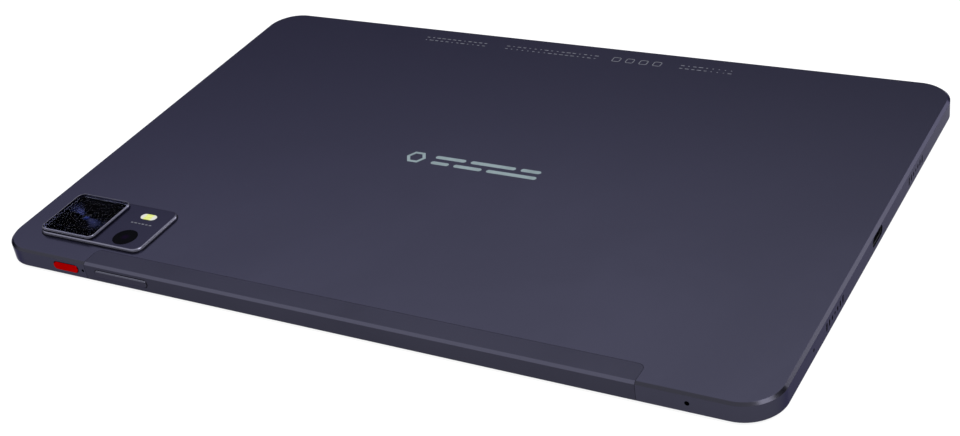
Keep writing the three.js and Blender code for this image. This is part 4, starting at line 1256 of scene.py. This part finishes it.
def make_island_print():
    """A short row of dots and dashes on the camera island."""
    high = box_mm("camera_island")[1]
    place = Vector((high.x - 9.0, ISLAND_PRINT_Y, high.z - PRINT_SINK))
    return placed(row_of_dashes(6, 1.45, 0.5, 0.75, 5), Matrix.Translation(place * MM))


# ---------------------------------------------------------------- the pieces, on their bodies

turned_plate = painted_fan_sheen()
clear_glass = clear_glass_finish()
dome_glass = dark_disc_finish("coated_dome", LENS_X, LENS_Y, 1.5, (0.02, 0.03, 0.12))
second_glass = dark_disc_finish("second_lens_glass", SECOND_X, SECOND_Y, 1.9, (0.004, 0.0018, 0.008))
flash_diffuser = flash_finish(FLASH_X)
front_glass = display_glass_finish()

finish_piece(make_rear_cover(), CASE, "anodised_aluminium", blasted_aluminium, "rear_cover")
finish_piece(make_antenna_cover(), CASE, "antenna_plastic", antenna_plastic, "antenna_cover")
power_key = make_key("power_button_fine", "power_button", POWER_LENGTH, 0.1)
finish_piece(power_key, "power_button", "red_key", red_anodised, "power_button")
volume_key = make_key("volume_rocker_fine", "volume_rocker", VOLUME_LENGTH, 0.35)
finish_piece(volume_key, "volume_rocker", "antenna_plastic", key_plastic, "volume_rocker")
finish_piece(make_island(), CASE, "anodised_aluminium", island_aluminium, "camera_island")
finish_piece(make_lens_frame(), CASE, "polished_aluminium", cut_aluminium, "main_lens_frame")
main_lens_glass = soft_plate(
    "main_lens_glass_fine", "main_lens_glass", LENS_FRAME_R - LENS_FRAME_WALL - SEAM, 0.08,
)
finish_piece(main_lens_glass, CASE, "lens_glass", clear_glass, "main_lens_glass")
finish_piece(make_turned_plate(), CASE, "graphite", turned_plate, "main_lens_trim")
finish_piece(make_lens_eye(), "focus_barrel", "lens_glass", dome_glass)
second_lens_glass = soft_plate("second_lens_glass_fine", "second_lens_glass", SECOND_R, 0.08)
finish_piece(second_lens_glass, CASE, "lens_glass", second_glass, "second_lens_glass")
flash_window = soft_plate("flash_window_fine", "flash_window", 1.5, 0.1)
finish_piece(flash_window, CASE, "white_plastic", flash_diffuser, "flash_window")
finish_piece(make_display_glass(), CASE, "display_glass", front_glass, "display_glass")
finish_piece(make_bezel(), CASE, "black_plastic", moulded_plastic, "display_bezel")
finish_piece(make_tray(), "card_tray", "anodised_aluminium", tray_aluminium, "card_tray")
finish_piece(make_usb_shell(), CASE, "steel", blackened_steel, "usb_port_shell")
finish_piece(make_usb_contacts(), CASE, "steel", blackened_steel)
finish_piece(make_mark(), CASE, "polished_aluminium", silver_print)
finish_piece(make_small_print(), CASE, "polished_aluminium", faint_print)
finish_piece(make_island_print(), CASE, "polished_aluminium", faint_print)

INSIDE_FINISHES = {
    "black_plastic": moulded_plastic,
    "steel": pressed_steel,
    "board": solder_resist,
    "foil": pouch_foil,
    "flex_amber": amber_film,
    "graphite": graphite_sheet,
    "phosphor": phosphor,
    "white_plastic": light_guide,
    "display_glass": front_glass,
}
for part in frame["record"]["subparts"]:
    inner = frame["nodes"][part["node"]]
    inner_finish = INSIDE_FINISHES.get(part["material_slot"])
    if inner_finish is None:
        continue
    inner.data.materials.clear()
    inner.data.materials.append(inner_finish)


# ---------------------------------------------------------------- floor, light and camera

def make_floor():
    bpy.ops.mesh.primitive_plane_add(size=6.0, location=(0.0, 0.0, 0.0))
    floor = bpy.context.object
    floor.name = "floor"
    material = bpy.data.materials.new("floor_white")
    material.use_nodes = True
    shader = material.node_tree.nodes["Principled BSDF"]
    shader.inputs["Base Color"].default_value = (FLOOR_GREY, FLOOR_GREY, FLOOR_GREY, 1.0)
    shader.inputs["Roughness"].default_value = 0.9
    shader.inputs["Specular IOR Level"].default_value = 0.1
    shader.inputs["Emission Color"].default_value = (1.0, 1.0, 1.0, 1.0)
    shader.inputs["Emission Strength"].default_value = FLOOR_GLOW
    floor.data.materials.append(material)


def softbox(name, direction, size, radiance):
    """An area light that faces the tablet from a direction, with an even brightness over its face."""
    light = bpy.data.lights.new(name, "AREA")
    light.shape = "RECTANGLE"
    light.size, light.size_y = size
    light.energy = math.pi * size[0] * size[1] * radiance
    lamp = linked(name, light)
    away = Vector(direction).normalized()
    lamp.location = away * SOFTBOX_DISTANCE
    lamp.rotation_euler = away.to_track_quat("Z", "Y").to_euler()


def make_world():
    """A room with a pale horizon, a dark band above it and a bright ceiling, tilted a little."""
    world = bpy.data.worlds.new("studio")
    world.use_nodes = True
    tree = world.node_tree
    background = tree.nodes["Background"]
    direction = add(tree, "ShaderNodeTexCoord").outputs["Generated"]
    height = add(tree, "ShaderNodeVectorMath", {0: direction, 1: WORLD_UP}, operation="DOT_PRODUCT")
    ramp = add(tree, "ShaderNodeValToRGB", {"Fac": height.outputs["Value"]})
    tree.links.new(ramp.outputs["Color"], background.inputs["Color"])
    stops = ramp.color_ramp.elements
    for level_at, level in WORLD_RAMP:
        at_end = level_at in (0.0, 1.0)
        stop = stops[-1 if level_at else 0] if at_end else stops.new(level_at)
        stop.color = (0.97 * level, 0.98 * level, level, 1.0)
    background.inputs["Strength"].default_value = WORLD_STRENGTH
    bpy.context.scene.world = world


def make_camera():
    """Above the corner with the port and the keys, turned from +Y towards -X and rolled a little."""
    camera = bpy.data.cameras.new("camera")
    camera.sensor_width = 36.0
    camera.lens = CAMERA_LENS
    camera.shift_x, camera.shift_y = CAMERA_SHIFT
    camera.clip_start = 0.02
    turn = Matrix.Rotation(math.radians(CAMERA_TURN), 4, "Z")
    pitch = Matrix.Rotation(math.radians(90 - CAMERA_PITCH), 4, "X")
    roll = Matrix.Rotation(math.radians(CAMERA_ROLL), 4, "Z")
    place = linked("camera", camera)
    place.matrix_world = Matrix.Translation(Vector(CAMERA_PLACE) * MM) @ turn @ pitch @ roll
    bpy.context.scene.camera = place


make_floor()
make_world()
for panel in SOFTBOXES:
    softbox(*panel)
make_camera()
bpy.context.scene.view_settings.view_transform = "Standard"
bpy.context.scene.view_settings.look = "None"
